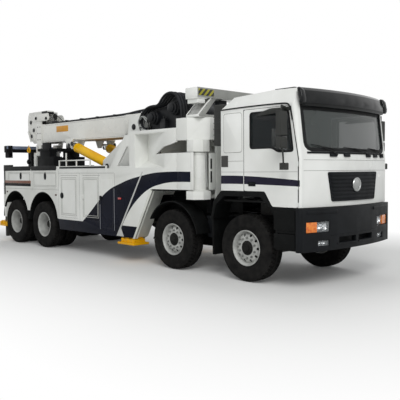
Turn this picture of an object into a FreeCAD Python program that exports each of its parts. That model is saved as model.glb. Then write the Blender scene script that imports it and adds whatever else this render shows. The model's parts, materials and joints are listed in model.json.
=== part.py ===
"""Heavy recovery truck: an 8x4 cab-over chassis with a lifting and telescoping recovery boom, a folding
underlift, four sliding stabiliser legs and two front stabilisers. Millimetres, +X forward, +Y left, +Z up,
origin on the ground under the middle of the truck's box. Each node is a list of closed solids, written to
parts/NODE.step."""
import FreeCAD, Part
import math, os
from FreeCAD import Vector

os.makedirs("parts", exist_ok=True)

# ---------------------------------------------------------------- driving dimensions
front_axle_x = 3952.5      # puts the origin under the middle of the truck's box
axle_x = {  # axle number: its place along the truck
    1: front_axle_x,
    2: front_axle_x - 1800,
    3: front_axle_x - 6400,
    4: front_axle_x - 7800,
}
body_half = 1250.0          # half width of the recovery body
cab_half = 1245.0           # half width of the cab
sill_z, body_top_z = 490.0, 1870.0
body_rear_x = front_axle_x - 8350
locker_front_x = front_axle_x - 3400

tyre_r, tyre_half_w, bead_r = 550.0, 152.0, 268.0
tyre_facets = 40            # flats round a tyre, one of them on the ground
steer_y = 1018.0            # middle plane of a steered wheel
twin_y = (748.0, 1094.0)    # middle planes of a twin pair
kingpin_y = 780.0

rail_y, rail_w = 390.0, 80.0
rail_z0, rail_z1 = 760.0, 1040.0

pivot = Vector(front_axle_x - 3740, 0, 2750)    # boom hinge
boom_tilt = 0.3                                  # degrees that the stowed boom climbs towards its head
boom_half, boom_low, boom_high = 300.0, -180.0, 295.0   # outer boom section, from the hinge's height
boom_len = 4440.0
lift_pin = Vector(front_axle_x - 4620, 0, 1920)  # lower pins of the two boom cylinders
lift_eye = Vector(front_axle_x - 6220, 0, 2434)  # their rod eyes
lift_y = 470.0

AXIS_X, AXIS_Y, AXIS_Z = Vector(1, 0, 0), Vector(0, 1, 0), Vector(0, 0, 1)
SIDES = (("right", -1), ("left", 1))


# ---------------------------------------------------------------- small helpers
def box(x0, x1, y0, y1, z0, z1):
    lo = Vector(min(x0, x1), min(y0, y1), min(z0, z1))
    return Part.makeBox(abs(x1 - x0), abs(y1 - y0), abs(z1 - z0), lo)


def rod(start, end, r):
    """A round bar from start to end."""
    return Part.makeCylinder(r, (end - start).Length, start, end - start)


def prism(points, step):
    """A flat outline of points, pushed along step."""
    wire = Part.makePolygon(list(points) + [points[0]])
    return Part.Face(wire).extrude(step)


def plate_xz(points, y0, y1):
    return prism([Vector(x, y0, z) for x, z in points], Vector(0, y1 - y0, 0))


def plate_xy(points, z0, z1):
    return prism([Vector(x, y, z0) for x, y in points], Vector(0, 0, z1 - z0))


def plate_yz(points, x0, x1):
    return prism([Vector(x0, y, z) for y, z in points], Vector(x1 - x0, 0, 0))


def turned(profile, centre, axis=AXIS_Y):
    """A ring or disc: profile of (radius, along) turned about axis through centre."""
    side = AXIS_Z if axis is not AXIS_Z else AXIS_X
    points = [centre + side * r + axis * a for r, a in profile]
    face = Part.Face(Part.makePolygon(points + [points[0]]))
    return face.revolve(centre, axis, 360)


def fuse(first, *others):
    """One shape of several, with the seams between flush faces taken out where that leaves it sound."""
    whole = first.fuse(list(others)) if others else first
    merged = whole.removeSplitter()
    return merged if merged.isValid() else whole


def cut(shape, *tools):
    return shape.cut(list(tools))


def mirrored(shape):
    return shape.mirror(Vector(0, 0, 0), AXIS_Y)


def on_side(shape, side):
    """A shape drawn on the right (-Y) side, or its twin on the left."""
    return shape if side < 0 else mirrored(shape)


def both(*shapes):
    return [s for shape in shapes for s in (shape, mirrored(shape))]


def write(name, *shapes):
    solids = [s for shape in shapes for s in shape.Solids]
    for solid in solids:
        if not solid.isValid() or solid.Volume <= 0:
            raise ValueError("bad solid in " + name)
    Part.makeCompound(solids).exportStep("parts/" + name + ".step")


# ---------------------------------------------------------------- wheels, knuckles and axles
def tyre(centre):
    """A tyre with flat facets: a ring of planar quads, each flat at its profile radius."""
    half = tyre_half_w
    profile = [(bead_r, -115), (500, -half), (tyre_r, -120), (tyre_r, 120), (500, half), (bead_r, 115)]
    step = 2 * math.pi / tyre_facets

    def corner(k, r, along):
        a = -math.pi / 2 + (k + 0.5) * step
        reach = r / math.cos(step / 2)
        return centre + Vector(reach * math.cos(a), along, reach * math.sin(a))

    faces = []
    for k in range(tyre_facets):
        for (r0, a0), (r1, a1) in zip(profile, profile[1:] + profile[:1]):
            quad = [corner(k, r0, a0), corner(k, r1, a1), corner(k + 1, r1, a1), corner(k + 1, r0, a0)]
            faces.append(Part.Face(Part.makePolygon(quad + quad[:1])))
    solid = Part.makeSolid(Part.makeShell(faces))
    if solid.Volume < 0:
        solid.reverse()
    return solid


def rim_barrel(centre):
    profile = [(bead_r, -118), (bead_r, 118), (290, 122), (290, 134), (255, 134), (255, -134), (290, -134),
               (290, -122)]
    return turned(profile, centre)


def round_holes(shape, centre, count, pitch_r, hole_r, depth):
    angles = [2 * math.pi * k / count for k in range(count)]
    spots = [centre + Vector(math.cos(a) * pitch_r, -depth, math.sin(a) * pitch_r) for a in angles]
    return cut(shape, *[Part.makeCylinder(hole_r, 2 * depth, spot, AXIS_Y) for spot in spots])


def steer_rim(centre, out):
    """Front rim: a disc that bulges outwards, with ten hand holes, its hub and the brake drum inside."""
    def at(y):
        return centre + Vector(0, out * y, 0)

    s = out
    disc = turned([(258, 40 * s), (225, 88 * s), (100, 100 * s), (100, 86 * s), (220, 74 * s),
                   (258, 26 * s)], centre)
    disc = round_holes(disc, at(80), 10, 200, 17, 60)
    hub = turned([(0, 150 * s), (78, 150 * s), (92, 96 * s), (92, 30 * s), (0, 30 * s)], centre)
    drum = turned([(0, 34 * s), (205, 34 * s), (205, -150 * s), (190, -150 * s), (190, 16 * s),
                   (0, 16 * s)], centre)
    return fuse(rim_barrel(centre), disc, hub, drum)


def twin_rim(x, out):
    """Rear twin rims: deep outer dish, both discs bolted together between the tyres."""
    inner = Vector(x, out * twin_y[0], tyre_r)
    outer = Vector(x, out * twin_y[1], tyre_r)
    middle = Vector(x, out * sum(twin_y) / 2, tyre_r)
    s = out
    disc = turned([(0, -18 * s), (200, -18 * s), (256, -60 * s), (256, 60 * s), (200, 18 * s), (0, 18 * s)],
                  middle)
    hub = turned([(0, 10 * s), (0, 190 * s), (88, 190 * s), (112, 120 * s), (112, 10 * s)], middle)
    drum = turned([(205, -14 * s), (205, -300 * s), (190, -300 * s), (190, -14 * s)], middle)
    return fuse(rim_barrel(inner), rim_barrel(outer), disc, hub, drum)


def knuckle(x, out):
    """Steered knuckle: a fork round the axle's eye, and the stub that carries the hub."""
    y = out * kingpin_y
    upper = box(x - 55, x + 55, y - 50, y + 50, tyre_r + 66, tyre_r + 106)
    lower = box(x - 55, x + 55, y - 50, y + 50, tyre_r - 106, tyre_r - 66)
    back = box(x - 55, x + 55, y + out * 50, y + out * 100, tyre_r - 106, tyre_r + 106)
    stub = rod(Vector(x, y + out * 100, tyre_r), Vector(x, out * (steer_y + 12), tyre_r), 45)
    arm = box(x - 230, x - 55, y - 20, y + 20, tyre_r - 100, tyre_r - 72)
    return fuse(upper, lower, back, stub, arm)


def leaf_pack(x, y, half_length, z_mid, thickness, width, sag):
    """A leaf spring: a bow, thick in the middle."""
    a, b, c = Vector(x - half_length, 0, z_mid + sag), Vector(x, 0, z_mid), Vector(x + half_length, 0,
        z_mid + sag)
    top = [p + Vector(0, 0, thickness * t) for p, t in ((a, 0.45), (b, 1.0), (c, 0.45))]
    low_arc = Part.Arc(a, b, c).toShape()
    top_arc = Part.Arc(*top).toShape()
    ends = [Part.LineSegment(a, top[0]).toShape(), Part.LineSegment(c, top[2]).toShape()]
    wire = Part.Wire(Part.__sortEdges__([low_arc, top_arc] + ends))
    face = Part.Face(wire)
    return face.extrude(Vector(0, width, 0)).translated(Vector(0, y - width / 2, 0))


def front_axle(x):
    """Dropped beam axle with its kingpin eyes, springs and hangers."""
    profile = [(-735, 500), (-560, 500), (-470, 400), (470, 400), (560, 500), (735, 500),
               (735, 600), (540, 600), (440, 510), (-440, 510), (-540, 600), (-735, 600)]
    beam = plate_yz(profile, x - 55, x + 55)
    eyes = [rod(Vector(x, s * kingpin_y, tyre_r - 60), Vector(x, s * kingpin_y, tyre_r + 60), 46)
            for s in (-1, 1)]
    seats = [box(x - 110, x + 110, s * 390 - 45, s * 390 + 45, 508, 560) for s in (-1, 1)]
    springs = [leaf_pack(x, s * 390, 720, 560, 90, 80, 120) for s in (-1, 1)]
    hangers = [box(x + e * 720 - 30, x + e * 720 + 30, s * 390 - 40, s * 390 + 40, 675, rail_z0)
               for s in (-1, 1) for e in (-1, 1)]
    return fuse(beam, *eyes, *seats, *springs, *hangers)


def rear_axle(x):
    """Driven axle: a tube with the bulb of its final drive."""
    tube = rod(Vector(x, -640, tyre_r), Vector(x, 640, tyre_r), 82)
    spindle = rod(Vector(x, -720, tyre_r), Vector(x, 720, tyre_r), 60)
    bulb = Part.makeSphere(225, Vector(x, 0, tyre_r))
    nose = rod(Vector(x, 0, tyre_r + 60), Vector(x + 330, 0, tyre_r + 60), 95)
    return fuse(tube, spindle, bulb, nose)


for number, x in ((1, axle_x[1]), (2, axle_x[2])):
    for name, side in SIDES:
        centre = Vector(x, side * steer_y, tyre_r)
        write(f"axle_{number}_{name}_tyre", tyre(centre))
        write(f"axle_{number}_{name}_rim", steer_rim(centre, side))
        write(f"axle_{number}_{name}_knuckle", knuckle(x, side))
for number, x in ((3, axle_x[3]), (4, axle_x[4])):
    for name, side in SIDES:
        tyres = [tyre(Vector(x, side * y, tyre_r)) for y in twin_y]
        write(f"axle_{number}_{name}_tyres", *tyres)
        write(f"axle_{number}_{name}_rims", twin_rim(x, side))
write("front_axles", front_axle(axle_x[1]), front_axle(axle_x[2]))

bogie_x = (axle_x[3] + axle_x[4]) / 2
bogie = [leaf_pack(bogie_x, s * 470, 680, 690, 130, 80, -20) for s in (-1, 1)]
bogie_seats = [box(bogie_x - 90, bogie_x + 90, s * 474 - 44, s * 474 + 44, 815, 900) for s in (-1, 1)]
bogie_arms = [box(bogie_x - 60, bogie_x + 60, s * 430, s * 518, 860, 900) for s in (-1, 1)]
spring_pads = [box(x - 70, x + 70, s * 470 - 50, s * 470 + 50, 600, 700) for s in (-1, 1)
               for x in (axle_x[3], axle_x[4])]
shafts = rod(Vector(axle_x[4] + 330, 0, 630), Vector(axle_x[3] - 205, 0, 630), 50)
main_shaft = rod(Vector(axle_x[3] + 330, 0, 630), Vector(axle_x[2] - 620, 0, 760), 60)
write("rear_axles", fuse(rear_axle(axle_x[3]), rear_axle(axle_x[4]), shafts, main_shaft, *bogie,
                         *bogie_seats,
                         *bogie_arms, *spring_pads))


# ---------------------------------------------------------------- chassis frame and engine
frame_front_x, frame_rear_x = front_axle_x + 1120, body_rear_x + 60
rails = [box(frame_rear_x, frame_front_x, s * rail_y - rail_w / 2, s * rail_y + rail_w / 2, rail_z0,
             rail_z1)
         for s in (-1, 1)]
cross_x = (frame_rear_x + 60, axle_x[4], bogie_x, axle_x[3] + 650, axle_x[3] + 1700, axle_x[2] - 700,
           axle_x[2] + 900,
           front_axle_x + 1000)
cross = [box(x - 60, x + 60, -rail_y, rail_y, rail_z0 + 120, rail_z1 - 30) for x in cross_x]
write("chassis_frame", fuse(rails[0], rails[1], *cross))
write("engine", box(front_axle_x - 400, front_axle_x + 880, -330, 330, 640, 1235))


# ---------------------------------------------------------------- cab
cab_rear_x = front_axle_x - 460
corner_x = front_axle_x + 1150          # where the curved front meets the side
nose_x = front_axle_x + 1300            # front on the centre line
cab_low_z, cab_arch_z, gutter_z, roof_z = 1250.0, 1480.0, 2800.0, 3030.0
wall = 55.0
door_rear_x, door_front_x = front_axle_x + 45, front_axle_x + 1105
arch_front_x = front_axle_x + 470       # where the cab's lower edge turns down
foot_x = front_axle_x + 620
gap = 6.0
belt_z = 1980.0                         # above this the front leans back
front_lean = 0.125                      # how far it leans back, per unit of height
corner_r = 60.0                         # corner between side and front, seen from above


def bowed(inset, rear_x, z0, z1, front_inset=None, lean=0.0):
    """The cab's plan shape with its curved front, pushed up from z0 to z1, inset all round."""
    back = (inset if front_inset is None else front_inset) + lean * (z0 - belt_z)
    half = cab_half - inset
    turn_x, side_y = corner_x - back - corner_r, half - corner_r
    mid = corner_r * math.sqrt(0.5)
    far_x = rear_x + inset - (lean and 200)
    right, left = Vector(turn_x, -half, z0), Vector(turn_x, half, z0)
    front_right, front_left = Vector(corner_x - back, -side_y, z0), Vector(corner_x - back, side_y, z0)
    rear_right, rear_left = Vector(far_x, -half, z0), Vector(far_x, half, z0)
    edges = [
        Part.LineSegment(rear_right, right),
        Part.Arc(right, Vector(turn_x + mid, -side_y - mid, z0), front_right),
        Part.Arc(front_right, Vector(nose_x - back, 0, z0), front_left),
        Part.Arc(front_left, Vector(turn_x + mid, side_y + mid, z0), left),
        Part.LineSegment(left, rear_left),
        Part.LineSegment(rear_left, rear_right),
    ]
    face = Part.Face(Part.Wire([e.toShape() for e in edges]))
    solid = face.extrude(Vector(-lean * (z1 - z0), 0, z1 - z0))
    if lean:
        solid = solid.common(box(rear_x + inset, nose_x + 60, -half - 1, half + 1, z0, z1))
    return solid


def leaning(inset, rear_x, z0, z1, front_inset=None):
    """The same shape above the belt, where its front leans back."""
    return bowed(inset, rear_x, z0, z1, front_inset, front_lean)


side_line = [(cab_rear_x, cab_arch_z), (arch_front_x, cab_arch_z), (foot_x, cab_low_z),
             (nose_x + 50, cab_low_z)]
roof_line = [(cab_rear_x, gutter_z - 1), (nose_x + 50, gutter_z - 1), (nose_x + 50, roof_z - 10),
             (front_axle_x + 560, roof_z + 5), (cab_rear_x + 230, roof_z - 40),
             (cab_rear_x + 40, gutter_z + 30)]
inner_line = [(cab_rear_x + wall, cab_arch_z + wall), (arch_front_x + 25, cab_arch_z + wall),
              (foot_x + 25, cab_low_z + wall), (nose_x, cab_low_z + wall), (nose_x, roof_z - wall),
              (cab_rear_x + 250, roof_z - 40 - wall), (cab_rear_x + wall, gutter_z - 10)]
cab_block = fuse(bowed(0, cab_rear_x, cab_low_z, belt_z), leaning(0, cab_rear_x, belt_z, gutter_z)).common(
    plate_xz(side_line + [(nose_x + 50, gutter_z), (cab_rear_x, gutter_z)], -cab_half, cab_half))


def roof_block(line):
    """The raised roof: sides lean in from the gutter to the top."""
    half = cab_half
    lean = [(-half, gutter_z - 1), (half, gutter_z - 1), (half - 130, roof_z + 60),
            (-half + 130, roof_z + 60)]
    across = plate_yz(lean, cab_rear_x - 10, nose_x + 60)
    plan = leaning(0, cab_rear_x, gutter_z - 1, roof_z + 80)
    return across.common(plate_xz(line, -cab_half, cab_half)).common(plan)


roof = roof_block(roof_line)
hollow = fuse(bowed(wall, cab_rear_x, cab_low_z, belt_z), leaning(wall, cab_rear_x, belt_z, roof_z))
hollow = hollow.common(plate_xz(inner_line, -cab_half, cab_half))
lean_in = plate_yz([(-cab_half + wall, 0), (cab_half - wall, 0), (cab_half - wall, gutter_z - 1),
                    (cab_half - wall - 130, roof_z + 60), (-cab_half + wall + 130, roof_z + 60),
                    (-cab_half + wall, gutter_z - 1)], cab_rear_x, nose_x)
hollow = hollow.common(lean_in)


def door_outline(grow):
    """Side view of a door, grown by the gap round it. Its front edge leans back above the belt."""
    top = gutter_z - 40 + grow
    return [(door_rear_x - grow, cab_arch_z - grow), (arch_front_x + grow * 0.4, cab_arch_z - grow),
            (foot_x + grow * 0.4, cab_low_z - grow), (door_front_x + grow, cab_low_z - grow),
            (door_front_x + grow, belt_z), (door_front_x - 135 + grow, top - 20),
            (door_front_x - 165 + grow, top),
            (door_rear_x - grow, top)]


def door_window(inset):
    """Side view of the door's window opening, which steps down at its front."""
    places = ((165, 2140), (620, 2140), (720, 2075), (1030, 2075), (940, 2715), (165, 2715))
    signs = ((1, 1), (1, 1), (1, 1), (-1, 1), (-1, -1), (1, -1))
    return [(front_axle_x + x + sx * inset, z + sz * inset) for (x, z), (sx, sz) in zip(places, signs)]


def screen_outline(inset):
    """Front view of the windscreen with its rounded lower corners."""
    half = [(1135 - inset, 2790 - inset), (1135 - inset, 2230), (1118 - inset, 2165), (1070 - inset, 2117),
            (1000, 2095 + inset)]
    return [(-y, z) for y, z in half] + [(y, z) for y, z in reversed(half)]


door_cuts = plate_xz(door_outline(gap), -cab_half - 50, -cab_half + wall + 20)
screen_cut = plate_yz(screen_outline(0), corner_x - 270, nose_x + 60)
hinge_heights = (1560.0, 1900.0)
hinge_notches = [rod(Vector(door_front_x, -cab_half, z - 45), Vector(door_front_x, -cab_half, z + 45), 16)
                 for z in hinge_heights]
rear_window_cut = box(cab_rear_x - 20, cab_rear_x + wall + 20, -520, 520, 2180, 2560)
cab = cut(fuse(cab_block, roof), hollow, door_cuts, mirrored(door_cuts), screen_cut, rear_window_cut,
          *hinge_notches, *[mirrored(n) for n in hinge_notches])
write("cab_shell", cab)

screen = leaning(16, cab_rear_x, 2060, 2795).cut(leaning(28, cab_rear_x, 2055, 2800)).common(
    plate_yz(screen_outline(2), corner_x - 270, nose_x + 60))
rear_pane = box(cab_rear_x + 20, cab_rear_x + 30, -518, 518, 2182, 2558)
write("cab_glass", screen, rear_pane)

for name, side in SIDES:
    panel = plate_xz(door_outline(0), -cab_half, -cab_half + wall).common(cab_block)
    panel = cut(panel, plate_xz(door_window(0), -cab_half - 10, -cab_half + wall + 10))
    glass = plate_xz(door_window(2), -cab_half + 22, -cab_half + 28)
    knuckles = [rod(Vector(door_front_x, -cab_half, z - 38), Vector(door_front_x, -cab_half, z + 38), 11)
                for z in hinge_heights]
    mirror_x = front_axle_x + 940
    arm_top = rod(Vector(mirror_x - 30, -cab_half + 10, 2735), Vector(mirror_x, -1420, 2770), 14)
    arm_low = rod(Vector(mirror_x + 70, -cab_half + 10, 2030), Vector(mirror_x, -1420, 2050), 12)
    stem = rod(Vector(mirror_x, -1420, 1900), Vector(mirror_x, -1420, 2784), 13)
    head = box(mirror_x - 45, mirror_x + 45, -1500, -1330, 2310, 2740)
    wide = box(mirror_x - 45, mirror_x + 45, -1500, -1330, 2130, 2295)
    kerb = box(mirror_x - 80, mirror_x + 80, -1490, -1360, 1815, 1925)
    door = fuse(panel, *knuckles, arm_top, arm_low, stem, head, wide, kerb)
    write(f"cab_door_{name}", on_side(door, side), on_side(glass, side))

floor_z = cab_arch_z + wall
seats = []
for s in (-1, 1):
    base = box(front_axle_x - 120, front_axle_x + 400, s * 700 - 250, s * 700 + 250, floor_z + 180,
               floor_z + 420)
    foot = box(front_axle_x - 60, front_axle_x + 340, s * 700 - 180, s * 700 + 180, floor_z, floor_z + 180)
    back = plate_xz([(front_axle_x - 120, floor_z + 420), (front_axle_x + 20, floor_z + 420),
                     (front_axle_x - 60, floor_z + 1120), (front_axle_x - 180, floor_z + 1120)],
                     s * 700 - 250, s * 700 + 250)
    seats.append(fuse(base, foot, back))
dash = plate_xz([(front_axle_x + 900, 1700), (front_axle_x + 820, 1900), (front_axle_x + 880, 2060),
                 (front_axle_x + 1045, 2070), (front_axle_x + 1045, 1600)], -1120, 1120)
wheel_centre = Vector(front_axle_x + 650, 700, 2010)
lean = Vector(-0.5, 0, 0.866)
ring = Part.makeTorus(225, 16, wheel_centre, lean)
spokes = box(front_axle_x + 630, front_axle_x + 670, 480, 920, 1990, 2030).common(
    Part.makeCylinder(225, 60, wheel_centre - lean * 30, lean))
column = rod(wheel_centre - lean * 10, Vector(front_axle_x + 880, 700, 1730), 30)
write("cab_interior", *seats, fuse(dash, column, ring, spokes))

grille_face = bowed(-14, cab_rear_x, 1335, 1765).cut(bowed(-1, cab_rear_x, 1300, 1800)).common(
    plate_yz([(-600, 1335), (600, 1335), (690, 1765), (-690, 1765)], nose_x - 200, nose_x + 60))
slats = [bowed(-30, cab_rear_x, z, z + 26).cut(bowed(-13, cab_rear_x, z - 5, z + 40)).common(
    box(nose_x - 200, nose_x + 60, -590 - 90 * (z - 1335) / 430, 590 + 90 * (z - 1335) / 430, z, z + 26))
    for z in range(1375, 1740, 58)]
write("grille", fuse(grille_face, *slats))

# the visor follows the front's curve: a thin hood drawn as (stand-off, height) and swept about the curve's centre
half_chord, rise = cab_half - 60, nose_x - corner_x
front_r = (half_chord ** 2 + rise ** 2) / (2 * rise)
visor_profile = [(6, 2748), (50, 2750), (92, 2790), (100, 2850), (66, 2985), (6, 3035),
                 (6, 3022), (58, 2976), (88, 2850), (81, 2798), (46, 2760), (6, 2758)]
visor_points = [Vector(nose_x + off - front_lean * (z - belt_z), 0, z) for off, z in visor_profile]
visor_face = Part.Face(Part.makePolygon(visor_points + visor_points[:1]))
sweep_half = math.degrees(math.asin(1170 / front_r))
sweep_axis = Vector(nose_x - front_r, 0, 0)
visor_face.rotate(sweep_axis, AXIS_Z, -sweep_half)
write("sun_visor", visor_face.revolve(sweep_axis, AXIS_Z, 2 * sweep_half))


# ---------------------------------------------------------------- bumper, lamps, steps and guards
bumper_low, bumper_high = 590.0, 1240.0
bumper = bowed(-40, corner_x - 330, bumper_low, bumper_high).cut(
    bowed(60, corner_x - 700, bumper_low - 10, bumper_high + 10, front_inset=40))
bumper = bumper.common(box(corner_x - 55, nose_x + 80, -1290, 1290, bumper_low, bumper_high))
lamp_cuts = [box(nose_x - 400, nose_x + 80, s * 930 - 240, s * 930 + 240, 870, 1040) for s in (-1, 1)]
fog_cuts = [box(nose_x - 400, nose_x + 80, s * 820 - 120, s * 820 + 120, 660, 750) for s in (-1, 1)]
vent_cuts = [box(nose_x - 200, nose_x + 80, s * 260 - 220, s * 260 + 220, 690, 780) for s in (-1, 1)]
write("bumper", cut(bumper, *lamp_cuts, *fog_cuts, *vent_cuts))
lens_band = bowed(-28, corner_x - 330, bumper_low, bumper_high).cut(
    bowed(30, corner_x - 700, bumper_low - 10, bumper_high + 10, front_inset=-6))
lamps = [lens_band.common(box(nose_x - 400, nose_x + 80, s * 930 - 236, s * 930 + 236, 874, 1036))
         for s in (-1, 1)]
fogs = [lens_band.common(box(nose_x - 400, nose_x + 80, s * 820 - 116, s * 820 + 116, 664, 746))
        for s in (-1, 1)]
write("front_lamps", *lamps, *fogs)

step_x0, step_x1 = front_axle_x + 690, corner_x - 62


def arc_shell(centre_x, centre_z, r_in, r_out, start, stop, y0, y1):
    """A curved guard: a band of a ring between two angles (degrees from +X, counter-clockwise to +Z)."""
    def spot(r, deg):
        a = math.radians(deg)
        return Vector(centre_x + r * math.cos(a), y0, centre_z + r * math.sin(a))

    mid = (start + stop) / 2
    outer = Part.Arc(spot(r_out, start), spot(r_out, mid), spot(r_out, stop)).toShape()
    inner = Part.Arc(spot(r_in, start), spot(r_in, mid), spot(r_in, stop)).toShape()
    ends = [Part.LineSegment(spot(r_in, d), spot(r_out, d)).toShape() for d in (start, stop)]
    return Part.Face(Part.Wire(Part.__sortEdges__([outer, inner] + ends))).extrude(Vector(0, y1 - y0, 0))


guards = []
side_panel = box(step_x0, step_x1, -cab_half, -cab_half + 40, 600, 1244)
treads = [box(step_x0, step_x1, -cab_half + 40, -1000, z, z + 30) for z in (610, 900, 1190)]
step_back = box(step_x0, step_x1, -1010, -990, 610, 1220)
slots = [box(step_x0 + 30, step_x1 - 30, -cab_half - 5, -cab_half + 41, z, z + 200) for z in (660, 950)]
steps = fuse(cut(side_panel, *slots), *treads, step_back)
fender_line = [(front_axle_x - 470, 1474), (front_axle_x + 465, 1474), (front_axle_x + 615, 1244),
               (step_x0 - 5, 1244),
               (step_x0 - 5, 1050), (front_axle_x + 560, 1250), (front_axle_x + 380, 1390),
               (front_axle_x - 400, 1390),
               (front_axle_x - 590, 1240), (front_axle_x - 660, 1000), (front_axle_x - 710, 1000),
               (front_axle_x - 640, 1300)]
fender = plate_xz(fender_line, -cab_half, -860)
flap_1 = box(front_axle_x - 735, front_axle_x - 715, -1180, -860, 380, 1100)
stay_1 = box(front_axle_x - 720, front_axle_x - 690, -900, -432, 1040, 1080)
guard_2 = arc_shell(axle_x[2], tyre_r, 690, 710, 12, 150, -1190, -850)
stay_2 = box(axle_x[2] - 20, axle_x[2] + 20, -860, -430, 1225, 1252)
stay_2_leg = box(axle_x[2] - 20, axle_x[2] + 20, -470, -430, 900, 1252)
guards += both(steps, fuse(fender, flap_1, stay_1), fuse(guard_2, stay_2, stay_2_leg))
write("steps_and_guards", *guards)

stack_x = front_axle_x - 595
stack = fuse(box(stack_x - 105, stack_x + 105, -1180, -1010, 2220, 2910),
             *[box(stack_x, cab_rear_x, -1130, -1060, z, z + 60) for z in (2300, 2700)])
write("intake_stack", stack)


# ---------------------------------------------------------------- recovery body
skin = 40.0
locker_in_y = 770.0
tall_rear_x = front_axle_x - 5700
front_low_x = front_axle_x - 2870       # foot of the raked front edge, at the sill
front_top_x = front_axle_x - 2310       # its top, at the arch over the second axle
rake = Vector(front_top_x - front_low_x, 0, 1470.0 - 500.0).normalize()
arch_z = 1470.0
post_x = front_axle_x - 1160            # front end of the side walls
cover_x = front_axle_x - 1560           # from here on the side wall is the front stabiliser's own cover
doors = (  # name, x of the hinge edge, x of the free edge
    ("a", front_axle_x - 5590, front_axle_x - 4860),
    ("b", front_axle_x - 4000, front_axle_x - 4680),
)
door_z0, door_z1 = 780.0, 1720.0


def raked_box(foot, start, stop, half, y0, y1):
    """A bar along the rake from start to stop, half wide in X, between y0 and y1."""
    a, b = foot + rake * start, foot + rake * stop
    return plate_xz([(a.x - half, a.z), (a.x + half, a.z), (b.x + half, b.z), (b.x - half, b.z)], y0, y1)


def door_knuckles(x, r, half_length):
    """Upright hinge barrels of a locker door, or with a larger radius the notches that clear them."""
    return [rod(Vector(x, -body_half, z - half_length), Vector(x, -body_half, z + half_length), r)
            for z in (door_z0 + 150, door_z1 - 150)]


def locker_shell(side):
    """Side lockers of one side, hollow, with the wheel arches and the door openings cut."""
    outline = [(body_rear_x, 740), (tall_rear_x, 740), (tall_rear_x + 80, sill_z), (front_axle_x - 3400,
        sill_z),
               (front_low_x, sill_z + 10), (front_top_x, arch_z), (cover_x - 6, arch_z),
               (cover_x - 6, 2130),
               (front_axle_x - 1900, 2130), (front_axle_x - 1900, body_top_z), (body_rear_x, body_top_z)]
    face = plate_xz(outline, -body_half, -body_half + skin)
    arches = [rod(Vector(axle_x[n], -1400, 650), Vector(axle_x[n], -1100, 650), 680) for n in (3, 4)]
    under = [box(axle_x[n] - 680, axle_x[n] + 680, -1400, -1100, 300, 650) for n in (3, 4)]
    face = cut(face, *arches, *under)
    cusp = box(axle_x[4] + 500, axle_x[3] - 500, -1400, -1100, 300, 860)
    face = cut(face, cusp)
    back_y0, back_y1 = -locker_in_y, -locker_in_y + 20
    inner = plate_xz([(body_rear_x, 1290), (tall_rear_x, 1290), (tall_rear_x, sill_z),
                      (locker_front_x, sill_z),
                      (locker_front_x, body_top_z), (body_rear_x, body_top_z)], back_y0, back_y1)
    y0, y1 = -body_half + skin - 1, -locker_in_y + 1
    top = box(body_rear_x, locker_front_x, y0, y1, body_top_z - 30, body_top_z)
    low = box(body_rear_x, tall_rear_x, y0, y1, 1370, 1400)
    tall_low = box(tall_rear_x, locker_front_x, y0, y1, sill_z, sill_z + 30)
    ends = [box(x - 15, x + 15, y0, y1, z, body_top_z) for x, z in
            ((body_rear_x + 15, 1370), (tall_rear_x + 15, sill_z), (front_axle_x - 4770, sill_z),
             (locker_front_x - 15, sill_z))]
    rail = box(body_rear_x, front_axle_x - 3800, -body_half + 10, -body_half + 60, body_top_z,
               body_top_z + 60)
    guide_foot = Vector(front_low_x - 150, 0, sill_z + 10)
    guide = raked_box(guide_foot, 0, 1120, 130, -body_half + skin - 1, -860).cut(
        raked_box(guide_foot, -20, 1140, 108, -body_half + skin + 14, -875))
    guide_stay = box(locker_front_x - 20, front_low_x - 180, -1180, -900, sill_z + 60, sill_z + 160).cut(
        raked_box(guide_foot, -20, 1140, 120, -1300, -800))
    shell = fuse(face, inner, top, low, tall_low, rail, guide, guide_stay, *ends)
    for _, hinge_x, free_x in doors:
        lo, hi = min(hinge_x, free_x), max(hinge_x, free_x)
        opening = box(lo - 5, hi + 5, -body_half - 5, -body_half + skin + 5, door_z0 - 5, door_z1 + 5)
        shell = cut(shell, opening, *door_knuckles(hinge_x, 14, 40))
    return on_side(shell, side)


for name, side in SIDES:
    write(f"lockers_{name}", locker_shell(side))
    for door_name, hinge_x, free_x in doors:
        leaf = fuse(box(hinge_x, free_x, -body_half, -body_half + 25, door_z0, door_z1),
                    *door_knuckles(hinge_x, 9, 34))
        write(f"locker_door_{door_name}_{name}", on_side(leaf, side))

# work deck between the lockers, tail beam, boom rest and leg channels
deck_z0, deck_z1 = 1290.0, 1330.0
deck_half = locker_in_y - 20
deck = box(body_rear_x, locker_front_x, -deck_half, deck_half, deck_z0, deck_z1)
bearers = [box(x - 40, x + 40, -deck_half, deck_half, rail_z1, deck_z0) for x in
           (axle_x[4] - 400, bogie_x, axle_x[3] + 500, axle_x[3] + 1500, axle_x[3] + 2600)]
tail = box(body_rear_x - 60, body_rear_x, -body_half, body_half, 640, 900)
tail_posts = [box(body_rear_x - 60, body_rear_x, s * 1000 - 200, s * 1000 + 200, 900, body_top_z)
              for s in (-1, 1)]
tail_links = [box(body_rear_x - 60, frame_rear_x, s * rail_y - 60, s * rail_y + 60, 740, rail_z1)
              for s in (-1, 1)]
mast_x = body_rear_x - 120
mast_posts = [box(mast_x - 60, mast_x + 60, s * 260 - 60, s * 260 + 60, 500, 2330) for s in (-1, 1)]
mast_ties = [box(mast_x - 40, mast_x + 120, -320, 320, z, z + 90) for z in (760, 1295, 2240)]
cradle = [box(mast_x + 40, mast_x + 240, s * 216, s * 300, 2240, 2540) for s in (-1, 1)]
hinge_x, hinge_z = front_axle_x - 9150, 640.0
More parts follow.
